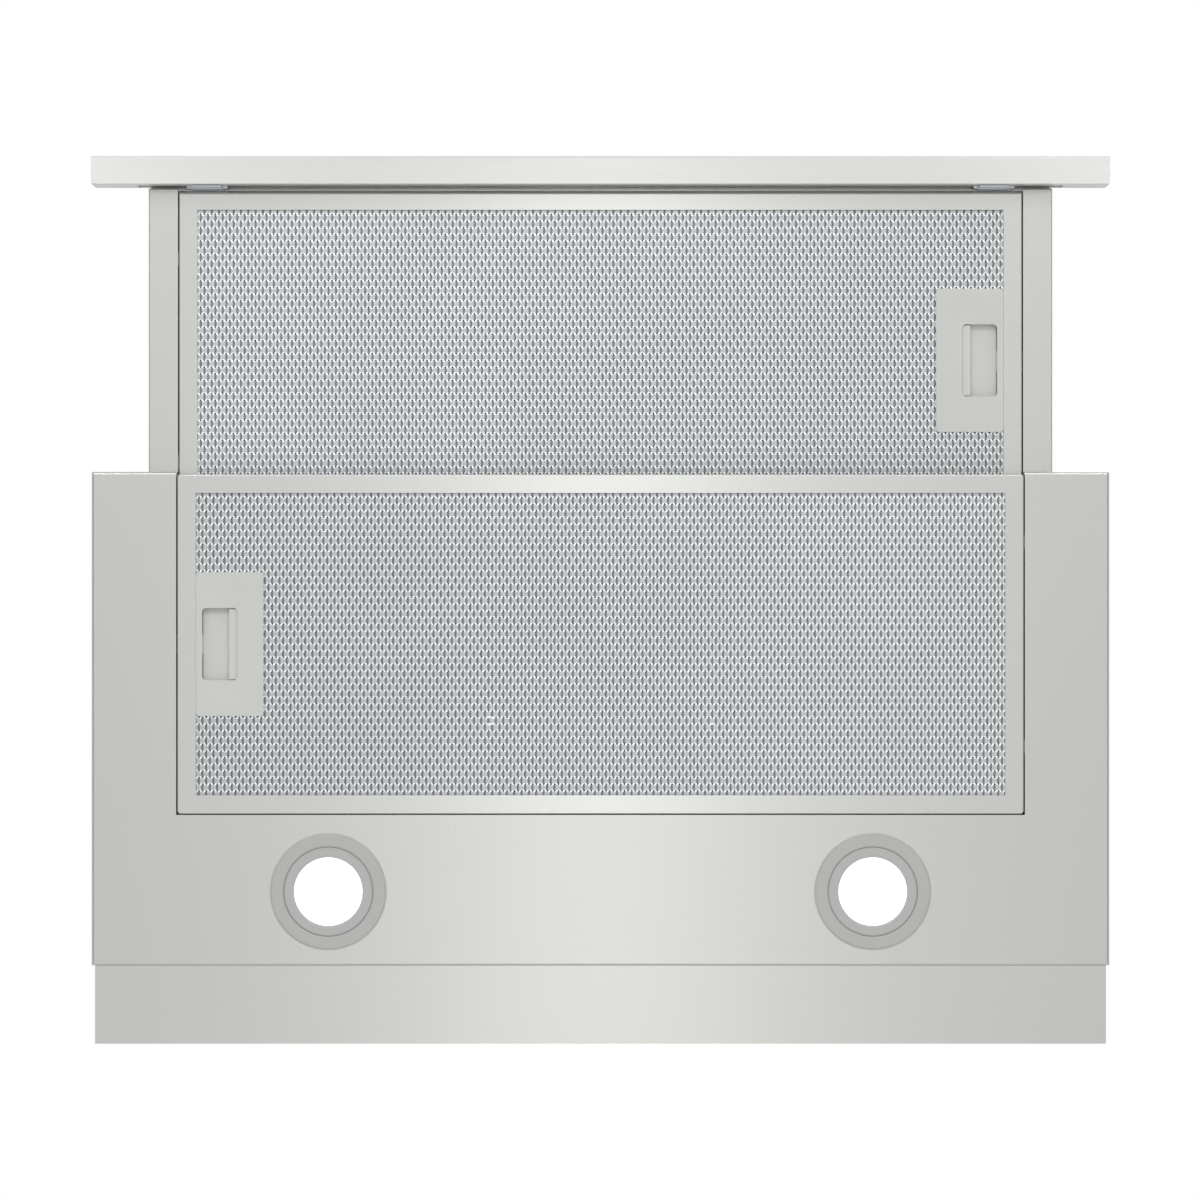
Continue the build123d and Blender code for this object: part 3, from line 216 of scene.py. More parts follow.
@dataclass(frozen=True)
class Finish:
    """What every finish has.

    Attributes:
        name: The material's name.
        colour: Its plain colour, linear.
        roughness: How matt it is, 0 to 1.
        metallic: How much it is bare metal, 0 to 1.
        play: How much its roughness changes to either side.
        depth: How deep its relief is, in metres.
    """

    name: str
    colour: Triple
    roughness: float
    metallic: float = 0.0
    play: float = 0.05
    depth: float = 0.00002

    def material(self) -> bpy.types.Material:
        """The finish as a material, made once, under a name that no CAD material has.

        Returns:
            The material.
        """
        name = "look_" + self.name
        found = bpy.data.materials.get(name)
        if found:
            return found
        made = bpy.data.materials.new(name)
        plain = (*self.colour, 1.0)
        made.diffuse_color = plain
        sheet = NodeSheet.blank(made)
        tone, matt, height = self.layers(sheet)
        inputs = {
            "Base Color": plain if tone is None else sheet.tinted(self.colour, tone),
            "Roughness": self.roughness,
            "Metallic": self.metallic,
            "Normal": sheet.relief(height, self.depth),
        }
        if matt is not None:
            inputs["Roughness"] = sheet.around(matt, self.roughness, self.play)
        surface = sheet.node("ShaderNodeBsdfPrincipled", inputs | self.extras(sheet))
        sheet.node("ShaderNodeOutputMaterial", {"Surface": surface.outputs[0]})
        return made

    def layers(self, sheet: NodeSheet) -> Layers:
        """Makes what changes from place to place.

        Args:
            sheet: The material's nodes.

        Returns:
            What the colour is multiplied by, the roughness's grain, and the relief's height.
        """
        raise NotImplementedError

    def extras(self, sheet: NodeSheet) -> dict[str, Input]:
        """More of the shader's inputs, which only some finishes have."""
        return {}


@dataclass(frozen=True)
class SatinSheet(Finish):
    """Smooth coated sheet metal with a faint orange peel, fine flake and handling smudges."""

    metallic: float = 0.75
    play: float = 0.006
    depth: float = 0.0000015
    flake: float = 0.02
    smudge: float = 0.003

    def layers(self, sheet: NodeSheet) -> Layers:
        """Makes the flake, the smudges and the peel.

        Args:
            sheet: The material's nodes.

        Returns:
            The flake under the smudges, the smudges, and the peel.
        """
        flake = sheet.around(sheet.noise(Grain.FLAKE), 1, self.flake)
        smudge = sheet.noise(Grain.SMUDGE)
        tone = sheet.times(flake, sheet.around(smudge, 1, self.smudge))
        return tone, smudge, sheet.noise(Grain.ORANGE_PEEL)


@dataclass(frozen=True)
class BrushedSteel(Finish):
    """Stainless steel with long brush lines in one direction, which spread light across them.

    Attributes:
        spread: How much more light is spread across the lines than along them, 0 to 1.
        squeeze: How much the grain is squeezed along them and across them.
    """

    metallic: float = 1.0
    play: float = 0.06
    depth: float = 0.000006
    along: Along = Along.X
    contrast: float = 0.05
    spread: float = 0.5
    squeeze: tuple[float, float] = (0.3, 60.0)
    fine_share: float = 0.7

    def layers(self, sheet: NodeSheet) -> Layers:
        """Makes the brush lines.

        Args:
            sheet: The material's nodes.

        Returns:
            The fine lines over broad bands, and the fine lines twice.
        """
        length, across = self.squeeze
        where = sheet.place(tuple(length if step else across for step in self.along.value))
        fine = sheet.noise(Grain.BRUSH_LINE, where)
        lines = sheet.blend(fine, sheet.noise(Grain.BRUSH_BAND, where), self.fine_share)
        return sheet.around(lines, 1, self.contrast), fine, fine

    def extras(self, sheet: NodeSheet) -> dict[str, Input]:
        """The spread of light, a quarter turn off the brush lines."""
        run = sheet.node("ShaderNodeCombineXYZ", dict(zip("XYZ", self.along.value))).outputs[0]
        return {"Anisotropic": self.spread, "Anisotropic Rotation": 1 / 4, "Tangent": run}


@dataclass(frozen=True)
class ZincCoat(Finish):
    """Galvanised sheet with its patches of crystals, so many in a metre."""

    metallic: float = 0.85
    play: float = 0.07
    depth: float = 0.000008
    spangle: float = 130.0
    contrast: float = 0.08

    def layers(self, sheet: NodeSheet) -> Layers:
        """Makes the crystals and the coat's skin.

        Args:
            sheet: The material's nodes.

        Returns:
            The crystals under a haze, the crystals, and the skin.
        """
        inputs = {"Vector": sheet.place(), "Scale": self.spangle}
        crystals = sheet.node("ShaderNodeTexVoronoi", inputs).outputs["Color"]
        shade = sheet.node("ShaderNodeSeparateColor", {"Color": crystals}).outputs
        mix = sheet.blend(shade[0], sheet.noise(Grain.ZINC_HAZE), 1 / 2)
        return sheet.around(mix, 1, self.contrast), shade[1], sheet.noise(Grain.ZINC_SKIN)


@dataclass(frozen=True)
class MouldedPlastic(Finish):
    """Moulded plastic with a spark-eroded grain and a slight cloudiness."""

    speck: float = 0.02
    gloss: float = 0.4

    def layers(self, sheet: NodeSheet) -> Layers:
        """The cloudiness, and the grain twice."""
        grain = sheet.noise(Grain.SPARK)
        return sheet.around(sheet.noise(Grain.CLOUD), 1, self.speck), grain, grain

    def extras(self, sheet: NodeSheet) -> dict[str, Input]:
        """The strength of the gloss."""
        return {"Specular IOR Level": self.gloss}


@dataclass(frozen=True)
class CastMetal(Finish):
    """Die-cast or deep-drawn metal with a pebbled skin and a little staining.

    Attributes:
        stain: The middle of what stains multiply the colour by, and how far it changes.
    """

    metallic: float = 0.9
    play: float = 0.08
    depth: float = 0.00008
    stain: tuple[float, float] = (0.99, 0.09)

    def layers(self, sheet: NodeSheet) -> Layers:
        """The stains, and the pebbles twice."""
        skin = sheet.noise(Grain.PEBBLE)
        return sheet.around(sheet.noise(Grain.STAIN), *self.stain), skin, skin


@dataclass(frozen=True)
class ExpandedAluminium(Finish):
    """Slit and stretched aluminium, finely scratched, with painted highlights on its strands and
    painted shade on darkened bonds.

    Attributes:
        strand_painted_highlight: How many times brighter a strand is painted than a bond, as a
            painted highlight.
        mark: How much the press marks change the colour, and patch, how much patches do.
    """

    metallic: float = 0.7
    play: float = 0.06
    depth: float = 0.00001
    strand_painted_highlight: float = 1.8
    mark: float = 0.07
    patch: float = 0.025
    squeeze: Triple = (1.0, 0.15, 1.0)

    def layers(self, sheet: NodeSheet) -> Layers:
        """Paints highlight on the strands and shade on darkened bonds, by their attribute, and adds
        the press marks.

        Args:
            sheet: The material's nodes.

        Returns:
            The marks, patches, painted strand highlight and painted bond shade as one tone, and the
            marks twice.
        """
        marks = sheet.noise(Grain.PRESS_MARK, sheet.place(self.squeeze))
        patch = sheet.around(sheet.noise(Grain.PATCH), 1, self.patch)
        # each face's painted shine: above 0 a painted highlight on strands, below 0 painted shade on
        # bonds
        strand = sheet.node("ShaderNodeAttribute", attribute_name="strand").outputs["Fac"]
        painted_shine_factor = sheet.plus(sheet.times(strand, self.strand_painted_highlight - 1), 1.0)
        tone = sheet.times(sheet.times(sheet.around(marks, 1, self.mark), patch), painted_shine_factor)
        return tone, marks, marks


@dataclass(frozen=True)
class LampLens(Finish):
    """Frosted lens of a lit lamp, with fine moulded rings about its centre, in metres."""

    play: float = 0.04
    depth: float = 0.00006
    centre: Triple = (0.0, 0.0, 0.0)
    glow: float = 1.0
    rings: float = 140.0

    def layers(self, sheet: NodeSheet) -> Layers:
        """Makes the rings.

        Args:
            sheet: The material's nodes.

        Returns:
            No change of colour, and the rings twice.
        """
        inputs = {"Vector": sheet.place(centre=self.centre), "Scale": self.rings}
        kinds = {"wave_type": "RINGS", "rings_direction": "Z"}
        rings = sheet.node("ShaderNodeTexWave", inputs, **kinds).outputs["Fac"]
        return None, rings, rings

    def extras(self, sheet: NodeSheet) -> dict[str, Input]:
        """The lamp's light."""
        return {"Emission Color": WHITE, "Emission Strength": self.glow}


@dataclass(frozen=True)
class Laminate(Finish):
    """Circuit board: green solder mask over a maze of copper.

    Attributes:
        gap: How far from a cell's middle its copper starts.
        tones: What the bare board multiplies the colour by, and what the copper adds to that.
    """

    depth: float = 0.00004
    cells: float = 260.0
    gap: float = 0.42
    tones: tuple[float, float] = (0.75, 0.5)

    def layers(self, sheet: NodeSheet) -> Layers:
        """Makes the copper under the mask.

        Args:
            sheet: The material's nodes.

        Returns:
            The tracks' tone, no change of roughness, and the tracks.
        """
        inputs = {"Vector": sheet.place(), "Scale": self.cells}
        kinds = {"feature": "F1", "distance": "CHEBYCHEV"}
        maze = sheet.node("ShaderNodeTexVoronoi", inputs, **kinds).outputs["Distance"]
        tracks = sheet.math("GREATER_THAN", maze, self.gap)
        bare, more = self.tones
        return sheet.plus(sheet.times(tracks, more), bare), None, tracks


SILVER_SHEET = SatinSheet("silver_sheet", (0.54, 0.545, 0.52), 0.27)
FILTER_EDGE = SatinSheet("filter_edge_sheet", (0.563, 0.568, 0.548), 0.24, depth=0.000002)
BAR_STEEL = BrushedSteel(
    "bar_brushed_steel", (0.655, 0.665, 0.646), 0.40, 0.6, depth=0.000002, contrast=0.03, spread=0.9
)
HOUSING_ZINC = ZincCoat("housing_zinc", (0.50, 0.51, 0.52), 0.38)
RUNNER_ZINC = BrushedSteel("runner_zinc", (0.56, 0.57, 0.57), 0.32, along=Along.Y, contrast=0.06)
SCREW_ZINC = CastMetal("screw_zinc", (0.62, 0.62, 0.60), 0.28, depth=0.00001)
RIVET_ALUMINIUM = CastMetal("rivet_aluminium", (0.60, 0.61, 0.62), 0.35, depth=0.00001)
MESH_ALUMINIUM = ExpandedAluminium("mesh_aluminium", (0.49, 0.513, 0.519), 0.46)
HANDLE_PLASTIC = MouldedPlastic("handle_plastic", (0.72, 0.732, 0.705), 0.42)
LATCH_PLASTIC = MouldedPlastic("latch_plastic", (0.74, 0.752, 0.724), 0.40)
# pale clip plastic whose bluish tint and brightness are a painted reflection of the surround on the
# tabs
CLIP_PLASTIC_AND_PAINTED_REFLECTION = MouldedPlastic("clip_plastic", (0.86, 0.88, 0.93), 0.30, gloss=0.6)
SPRING_WIRE = BrushedSteel("spring_wire", (0.58, 0.58, 0.57), 0.25)
LAMP_TRIM = MouldedPlastic("lamp_trim", (0.56, 0.56, 0.55), 0.40, speck=0.01)
LAMP_CAN = CastMetal("lamp_can", (0.55, 0.56, 0.57), 0.45)
FAN_PLASTIC = MouldedPlastic("fan_plastic", (0.032, 0.032, 0.033), 0.48)
MOTOR_SHELL = CastMetal("motor_shell", (0.55, 0.56, 0.57), 0.48)
SHAFT_STEEL = BrushedSteel("shaft_steel", (0.60, 0.60, 0.61), 0.2, contrast=0.03)
CAPACITOR_PLASTIC = MouldedPlastic("capacitor_plastic", (0.78, 0.78, 0.75), 0.28)
COLLAR_PLASTIC = MouldedPlastic("collar_plastic", (0.022, 0.022, 0.022), 0.5)
BOX_PLASTIC = MouldedPlastic("box_plastic", (0.42, 0.43, 0.44), 0.46)
DRIVER_PLASTIC = MouldedPlastic("driver_plastic", (0.66, 0.67, 0.67), 0.4)
BOARD_GREEN = Laminate("board_green", (0.02, 0.17, 0.06), 0.35)
MAGNET_BLACK = CastMetal("magnet_black", (0.06, 0.06, 0.065), 0.5)
SWITCH_BLACK = MouldedPlastic("switch_black", (0.03, 0.03, 0.032), 0.36)
KNOB_SILVER = SatinSheet("knob_silver", (0.55, 0.55, 0.55), 0.28, depth=0.000006)


def coat(finish: Finish, *nodes: str) -> None:
    """Gives CAD nodes their finish.

    Args:
        finish: The finish for all of each node.
        *nodes: The nodes' names.
    """
    for name in nodes:
        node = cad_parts[name]
        if not node.material_slots:
            node.data.materials.append(None)
        for slot in node.material_slots:
            slot.material = finish.material()


def from_mesh(name: str, mesh: bpy.types.Mesh) -> bpy.types.Object:
    """Puts a mesh into the scene, at the origin.

    Args:
        name: The new object's name.
        mesh: Its mesh, already in place.

    Returns:
        The object.
    """
    made = bpy.data.objects.new(name, mesh)
    bpy.context.scene.collection.objects.link(made)
    return made


def ring(shape: Shape, middle: Triple, radius: float, sides: int, up: int = 1) -> Corners:
    """One ring of corners, in millimetres.

    Args:
        shape: The mesh that is being made.
        middle: The ring's middle.
        radius: Its radius.
        sides: How many corners it has.
        up: The axis in its plane beside X: 1 for Y, or 2 for an upright ring.

    Returns:
        The corners, in order.
    """
    corners = []
    for n in range(sides):
        place, turn = list(middle), 2 * math.pi * n / sides
        place[0] += radius * math.cos(turn)
        place[up] += radius * math.sin(turn)
        corners.append(shape.verts.new([c * MM for c in place]))
    return corners


def wall(shape: Shape, low: Corners, high: Corners) -> None:
    """Joins two rings of corners by faces.

    Args:
        shape: The mesh that is being made.
        low: The first ring.
        high: The second ring, with as many corners.
    """
    for n in range(len(low)):
        m = (n + 1) % len(low)
        shape.faces.new((low[n], low[m], high[m], high[n]))


def finished(shape: Shape, name: str) -> bpy.types.Mesh:
    """Ends a mesh that is being made, with its faces outwards.

    Args:
        shape: The mesh that is being made.
        name: The finished mesh's name.

    Returns:
        The finished mesh.
    """
    bmesh.ops.recalc_face_normals(shape, faces=shape.faces)
    made = bpy.data.meshes.new(name)
    shape.to_mesh(made)
    shape.free()
    return made


class GrowthTree:
    """A geometry node tree that lays copies of a shape on points and ends as one plain mesh."""

    def __init__(self, name: str) -> None:
        """Starts an empty tree with a geometry input and output.

        Args:
            name: The tree's name.
        """
        self.tree = bpy.data.node_groups.new(name, "GeometryNodeTree")
        self.sheet = NodeSheet(self.tree)
        for way in ("INPUT", "OUTPUT"):
            kind = "NodeSocketGeometry"
            self.tree.interface.new_socket("Geometry", in_out=way, socket_type=kind)

    def inputs(self, **kinds: str) -> bpy.types.bpy_prop_collection:
        """Adds the named inputs.

        Args:
            **kinds: Each input's name and the kind of its socket.

        Returns:
            The sockets that give their values.
        """
        for name, kind in kinds.items():
            kind = f"NodeSocket{kind}"
            self.tree.interface.new_socket(name, in_out="INPUT", socket_type=kind)
        return self.sheet.node("NodeGroupInput").outputs

    def close(self, copies: Socket, material: Socket, weld: float = 0.0) -> None:
        """Ends the tree: real meshes, welded where they meet, with their material.

        Args:
            copies: The laid copies.
            material: The material's socket.
            weld: How close two corners are that become one, in metres.
        """
        node = self.sheet.node
        solid = node("GeometryNodeRealizeInstances", {"Geometry": copies}).outputs[0]
        if weld:
            inputs = {"Geometry": solid, "Distance": weld}
            solid = node("GeometryNodeMergeByDistance", inputs).outputs[0]
        dressed = node("GeometryNodeSetMaterial", {"Geometry": solid, "Material": material})
        node("NodeGroupOutput", {0: dressed.outputs[0]})

    def grow(self, name: str, seed: bpy.types.Mesh, values: dict[str, object]) -> bpy.types.Mesh:
        """Runs the tree on a mesh.

        Args:
            name: The new mesh's name.
            seed: The mesh that the tree starts from.
            values: The inputs, by name.

        Returns:
            The finished plain mesh.
        """
        carrier = from_mesh(name + "_carrier", seed)
        modifier = carrier.modifiers.new("growth", "NODES")
        modifier.node_group = self.tree
        for item in self.tree.interface.items_tree:
            if item.in_out == "INPUT" and item.name in values:
                modifier[item.identifier] = values[item.name]
        carrier.update_tag()
        bpy.context.view_layer.update()
        graph = bpy.context.evaluated_depsgraph_get()
        made = bpy.data.meshes.new_from_object(carrier.evaluated_get(graph), depsgraph=graph)
        made.name = name
        carrier.modifiers.clear()
        bpy.data.objects.remove(carrier)
        bpy.data.meshes.remove(seed)
        return made


@dataclass
class Fasteners:
    """A set of like fasteners, each on its own seat. Sizes are in millimetres.

    Attributes:
        name: The new piece's name, and body, the CAD body that it rides on.
        head: The head's radius and height.
        shank: The shank's radius, and its length under the head.
        crossed: Whether it is a screw with a cross recess, or else a rivet.
        sides: How many corners each ring has.
        head_outline: The head's rings, as shares of its radius and height.
        crown: A rivet head's flat top, and below it the recess's reach, half width and floor,
            as shares of the head's radius and height.
        tip: The tip, and below it the thread's root and a turn's length, as shares of the
            shank's radius. Its flanks are shares of a turn.
        most_turned: The most that a fastener is turned about its axis, by chance.
    """

    name: str
    body: str
    finish: Finish
    head: tuple[float, float]
    shank: tuple[float, float]
    crossed: bool = True
    sides: int = 24
    head_outline: tuple[tuple[float, float], ...] = ((1, 0), (1, 0.35), (0.92, 0.7), (0.72, 0.93))
    crown: float = 0.3
    cross: tuple[float, float] = (0.55, 0.12)
    cross_floor: float = 0.35
    tip: float = 0.3
    root: float = 0.82
    turn: float = 1.1
    flanks: tuple[float, float] = (0.35, 0.45)
    most_turned: float = math.pi / 2
    chance: int = 7

    def cross_outline(self, shape: Shape, height: float) -> Corners:
        """The outline of a cross recess.

        Args:
            shape: The mesh that is being made.
            height: Its height over the seat.

        Returns:
            The outline's corners, in order.
        """
        reach, half = (share * self.head[0] for share in self.cross)
        points = []
        for quarter in range(4):
            turn = Matrix.Rotation(quarter * math.pi / 2, 2)
            points += [turn @ Vector(p) for p in ((reach, -half), (reach, half), (half, half))]
        return [shape.verts.new((x * MM, y * MM, height * MM)) for x, y in points]

    def shape(self) -> bpy.types.Mesh:
        """One fastener, its seat at the origin and its head up.

        Returns:
            Its mesh.
        """
        radius, length = self.shank
        wide, high = self.head
        root = self.root * radius if self.crossed else radius
        turns = max(2, round(length / (self.turn * radius)))
        outline = [(self.tip * radius, -length)]
        for turn in range(turns):
            low = -length * (1 - (turn + self.flanks[0]) / turns)
            outline += [(root, low), (radius, low + self.flanks[1] * length / turns)]
        outline.append((radius, 0.0))
        outline += [(across * wide, up * high) for across, up in self.head_outline]
        shape = bmesh.new()
        rings = [ring(shape, (0.0, 0.0, up), across, self.sides) for across, up in outline]
        for lower, upper in zip(rings, rings[1:]):
            wall(shape, lower, upper)
        shape.faces.new(rings[0][::-1])
        if self.crossed:
            self.recess(shape, rings[-1])
        else:
            crown = ring(shape, (0.0, 0.0, high), self.crown * wide, self.sides)
            wall(shape, rings[-1], crown)
            shape.faces.new(crown)
        return finished(shape, self.name + "_shape")

    def recess(self, shape: Shape, rim: Corners) -> None:
        """Closes the head's top round a cross recess.

        Args:
            shape: The mesh that is being made.
            rim: The last ring of the head.
        """
        top = self.cross_outline(shape, self.head[1])
        floor = self.cross_outline(shape, self.cross_floor * self.head[1])
        edges = []
        for border in (rim, top):
            for ends in zip(border, border[1:] + border[:1]):
                edges.append(shape.edges.get(ends) or shape.edges.new(ends))
        bmesh.ops.triangle_fill(shape, use_beauty=True, edges=edges)
        wall(shape, floor, top)
        shape.faces.new(floor)

    def growth(self) -> GrowthTree:
        """The tree that sets a fastener on each seat, turned by chance about its own axis.

        Returns:
            The tree.
        """
        growth = GrowthTree(self.name + "_growth")
        given = growth.inputs(Shape="Object", Turn="Float", Seed="Int", Material="Material")
        node = growth.sheet.node
        named = {"Name": "head_direction"}
        way = node("GeometryNodeInputNamedAttribute", named, data_type="FLOAT_VECTOR")
        upright = {"Vector": way.outputs[0]}
        aligned = node("FunctionNodeAlignRotationToVector", upright, axis="Z")
        limits = {3: given["Turn"], "Seed": given["Seed"]}  # input 3 is a random float's most
        turn = node("FunctionNodeRandomValue", limits, data_type="FLOAT")
        spin = node("ShaderNodeCombineXYZ", {"Z": turn.outputs[1]})
        shape = node("GeometryNodeObjectInfo", {"Object": given["Shape"]})
        inputs = {"Points": given["Geometry"], "Instance": shape.outputs["Geometry"]}
        inputs["Rotation"] = aligned.outputs[0]
        laid = node("GeometryNodeInstanceOnPoints", inputs)
        inputs = {"Instances": laid.outputs[0], "Rotation": spin.outputs[0]}
        growth.close(node("GeometryNodeRotateInstances", inputs).outputs[0], given["Material"])
        return growth

    def build(self, seats: list[tuple[Triple, Facing]], *nodes: str) -> None:
        """Sets the fasteners on their seats.

        Args:
            seats: Each seat's place, and where its head points.
            *nodes: The CAD nodes that they stand for.
        """
        seed = bpy.data.meshes.new(self.name + "_seats")
        seed.from_pydata([Vector(place) * MM for place, _ in seats], [], [])
        heads = seed.attributes.new("head_direction", "FLOAT_VECTOR", "POINT")
        heads.data.foreach_set("vector", [c for _, facing in seats for c in facing.value])
        template = from_mesh(self.name + "_template", self.shape())
        values = {"Shape": template, "Turn": self.most_turned, "Seed": self.chance}
        values["Material"] = self.finish.material()
        made = from_mesh(self.name, self.growth().grow(self.name, seed, values))
        bpy.data.objects.remove(template)
        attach(made, self.body)
        if nodes:
            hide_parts(*nodes)
        log.info("%s: %d on %s", self.name, len(seats), self.body)


@dataclass(frozen=True)
class MeshLayer:
    """One sheet of expanded metal in a filter's pack.

    Attributes:
        level: Its middle's height over the filter's underside, in millimetres.
        shift: How far it is moved along and across the filter, in millimetres.
        tilt: How far its strands are turned out of the sheet, in degrees.
        painted_shines: How bright its bonds and strands are painted, from a matt bond, 0, to a
            bright strand, 1: painted highlight on strands, and painted shade below 0.
    """

    level: float
    shift: tuple[float, float]
    tilt: float
    painted_shines: tuple[float, float] = (0.0, 1.0)


PACK_LAYERS = (
    # strand values are painted highlights on each layer's strands
    MeshLayer(1.7, (0.0, 0.0), 2.5),
    # painted shade: this layer's bonds, seen through the front layer's holes, are painted darker
    MeshLayer(2.9, (2.155, 0.0), 2.5, painted_shines=(-0.68, 0.1)),
    MeshLayer(4.4, (0.0, 0.0), -5.0, painted_shines=(0.0, 0.5)),
    MeshLayer(6.0, (2.155, 0.0), 5.0, painted_shines=(0.0, 0.5)),
)


@dataclass
class GreaseFilter:
    """A grease filter: frame, pack of expanded metal, handle and latch. Sizes in millimetres.

    Attributes:
        name: The start of its nodes' names, and body, the CAD body of its frame.
        centre: The middle of its underside.
        turned: Whether its handle is on the right.
        pitch: From one bond to the next, and row, from one row of them to the next.
        near: How far a bond's narrow edge is from its middle, and half that edge's height.
        far: The same for its wide edge, which bounds the next hole.
        join: How wide a strand is where it meets a bond.
        handle_edge: Where the room for the handle ends, and handle_half, half its height.
    """

    name: str
    body: str
    centre: Triple
    turned: bool = False
    half_length: float = 240.6
    half_width: float = 91.8
    pitch: float = 4.31
    row: float = 3.92
    near: tuple[float, float] = (1.4, 0.95)
    far: tuple[float, float] = (1.65, 1.5)
    join: float = 1.15
    thickness: float = 0.3
    weld: float = 0.04
    handle_edge: float = -200.0
    handle_half: float = 41.0

    def edge(self, x: float) -> float:
        """Half a bond's height at one place along it."""
        (near, short), (far, long) = self.near, self.far
        return short + (long - short) * (x + near) / (near + far)

    def cell(self, layer: MeshLayer) -> bpy.types.Mesh:
        """One bond with its two upper strands, which end on the next row's bonds.

        Args:
            layer: The layer that it is for.

        Returns:
            The cell's mesh, with the handle's side away from the viewer.
        """
        slope = math.tan(math.radians(layer.tilt))
        (near, short), (far, long), join = self.near, self.far, self.join
        side, above, edge = self.pitch / 2, self.row, self.edge
        # each corner's place along and across the cell, and what the tilt lifts it by
        bond = [(-near, -short, near), (far, -long, -far), (far, long, -far), (-near, short, near)]
        left = [(-join, edge(-join), join), (0.0, edge(0.0), 0.0)]
        left += [(join - side, above - edge(join), -join), (-side, above - edge(0.0), 0.0)]
        right = [(0.0, edge(0.0), 0.0), (join, edge(join), -join)]
        right += [(side, above - edge(0.0), 0.0), (side - join, above - edge(-join), join)]
        push = Vector((slope, 0.0, 1.0)).normalized() * self.thickness / 2
        corners: list[Triple] = []
        faces: list[tuple[int, ...]] = []
        painted_shines: list[float] = []
        # the bonds' painted shade and the strands' painted highlight, set per face
        matt, bright = layer.painted_shines
        for outline, painted_shine in ((bond, matt), (left, bright), (right, bright)):
            first = len(corners)
            for sign in (1, -1):
                for x, y, lift in outline:
                    point = Vector((x, y, lift * slope)) + sign * push
                    corners.append((-point.x * MM, point.y * MM, -point.z * MM))
            walls = [(0, 1), (1, 2), (2, 3), (3, 0)] if outline is bond else [(1, 2), (3, 0)]
            local = [(0, 1, 2, 3), (7, 6, 5, 4)] + [(a + 4, b + 4, b, a) for a, b in walls]
            faces += [tuple(first + n for n in face) for face in local]
            painted_shines += [painted_shine] * len(local)
        made = bpy.data.meshes.new("mesh_cell")
        made.from_pydata(corners, [], faces)
        # each face's painted shine, which the finish turns into painted highlight and painted shade
        made.attributes.new("strand", "FLOAT", "FACE").data.foreach_set("value", painted_shines)
        return made

    def growth(self) -> GrowthTree:
        """The tree that lays cells in offset rows, with room for the handle.

        Returns:
            The tree.
        """
        growth = GrowthTree(self.name + "_expanded_metal")
        sizes = ("Pitch", "Row", "ShiftX", "ShiftY", "HandleEdge", "HandleHalf")
        kinds = {"Cell": "Object", "Columns": "Int", "Rows": "Int"} | dict.fromkeys(sizes, "Float")
        given = growth.inputs(**kinds, Material="Material")
        sheet = growth.sheet
        width = sheet.times(sheet.math("SUBTRACT", given["Columns"], 1.0), given["Pitch"])
        height = sheet.times(sheet.math("SUBTRACT", given["Rows"], 1.0), given["Row"])
        inputs = {"Size X": width, "Size Y": sheet.times(height, 2.0)}
        inputs |= {"Vertices X": given["Columns"], "Vertices Y": given["Rows"]}
        grid = sheet.node("GeometryNodeMeshGrid", inputs).outputs[0]
        both = sheet.node("GeometryNodeJoinGeometry")
        for odd in (0.0, 1.0):
            right = sheet.plus(given["ShiftX"], sheet.times(given["Pitch"], odd / 2))
            up = sheet.plus(given["ShiftY"], sheet.times(given["Row"], odd))
            place = sheet.node("ShaderNodeCombineXYZ", {"X": right, "Y": up}).outputs[0]
            inputs = {"Geometry": grid, "Translation": place}
            moved = sheet.node("GeometryNodeTransform", inputs).outputs[0]
            growth.tree.links.new(moved, both.inputs[0])
        where = sheet.node("GeometryNodeInputPosition").outputs[0]
        where = sheet.node("ShaderNodeSeparateXYZ", {0: where}).outputs
        beside = sheet.math("LESS_THAN", where["X"], given["HandleEdge"])
        off_middle = sheet.math("ABSOLUTE", where["Y"])
        level = sheet.math("LESS_THAN", off_middle, given["HandleHalf"])
        inputs = {"Geometry": both.outputs[0], "Selection": sheet.times(beside, level)}
        kept = sheet.node("GeometryNodeDeleteGeometry", inputs, domain="POINT").outputs[0]
        cell = sheet.node("GeometryNodeObjectInfo", {"Object": given["Cell"]}).outputs
        inputs = {"Points": kept, "Instance": cell["Geometry"]}
        laid = sheet.node("GeometryNodeInstanceOnPoints", inputs).outputs[0]
        growth.close(laid, given["Material"], weld=self.weld * MM)
        return growth

    def lay(self, growth: GrowthTree, number: int, layer: MeshLayer) -> None:
        """Makes one layer of the pack.

        Args:
            growth: The tree that lays the cells.
            number: The layer's number from the underside.
            layer: Its place and tilt.
        """
        name = f"{self.name}_mesh_layer_{number}"
        template = from_mesh(name + "_cell", self.cell(layer))
        values = {
            "Cell": template,
            "Columns": int(2 * self.half_length / self.pitch) + 1,
            "Rows": int(self.half_width / self.row),
            "Pitch": self.pitch * MM,
            "Row": self.row * MM,
            "ShiftX": (layer.shift[0] - self.pitch / 4) * MM,
            "ShiftY": (layer.shift[1] - self.row / 2) * MM,
            "HandleEdge": self.handle_edge * MM,
            "HandleHalf": self.handle_half * MM,
            "Material": MESH_ALUMINIUM.material(),
        }
        mesh = growth.grow(name, bpy.data.meshes.new(name + "_seed"), values)
        bpy.data.objects.remove(template)
        turn = Matrix.Rotation(math.pi if self.turned else 0.0, 4, "Z")
        middle = Vector(self.centre) + Vector((0.0, 0.0, layer.level))
        mesh.transform(Matrix.Translation(middle * MM) @ turn)
        made = from_mesh(name, mesh)
        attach(made, self.body)
        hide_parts(f"{self.name}_mesh")
        log.info("%s: %d faces", name, len(mesh.polygons))

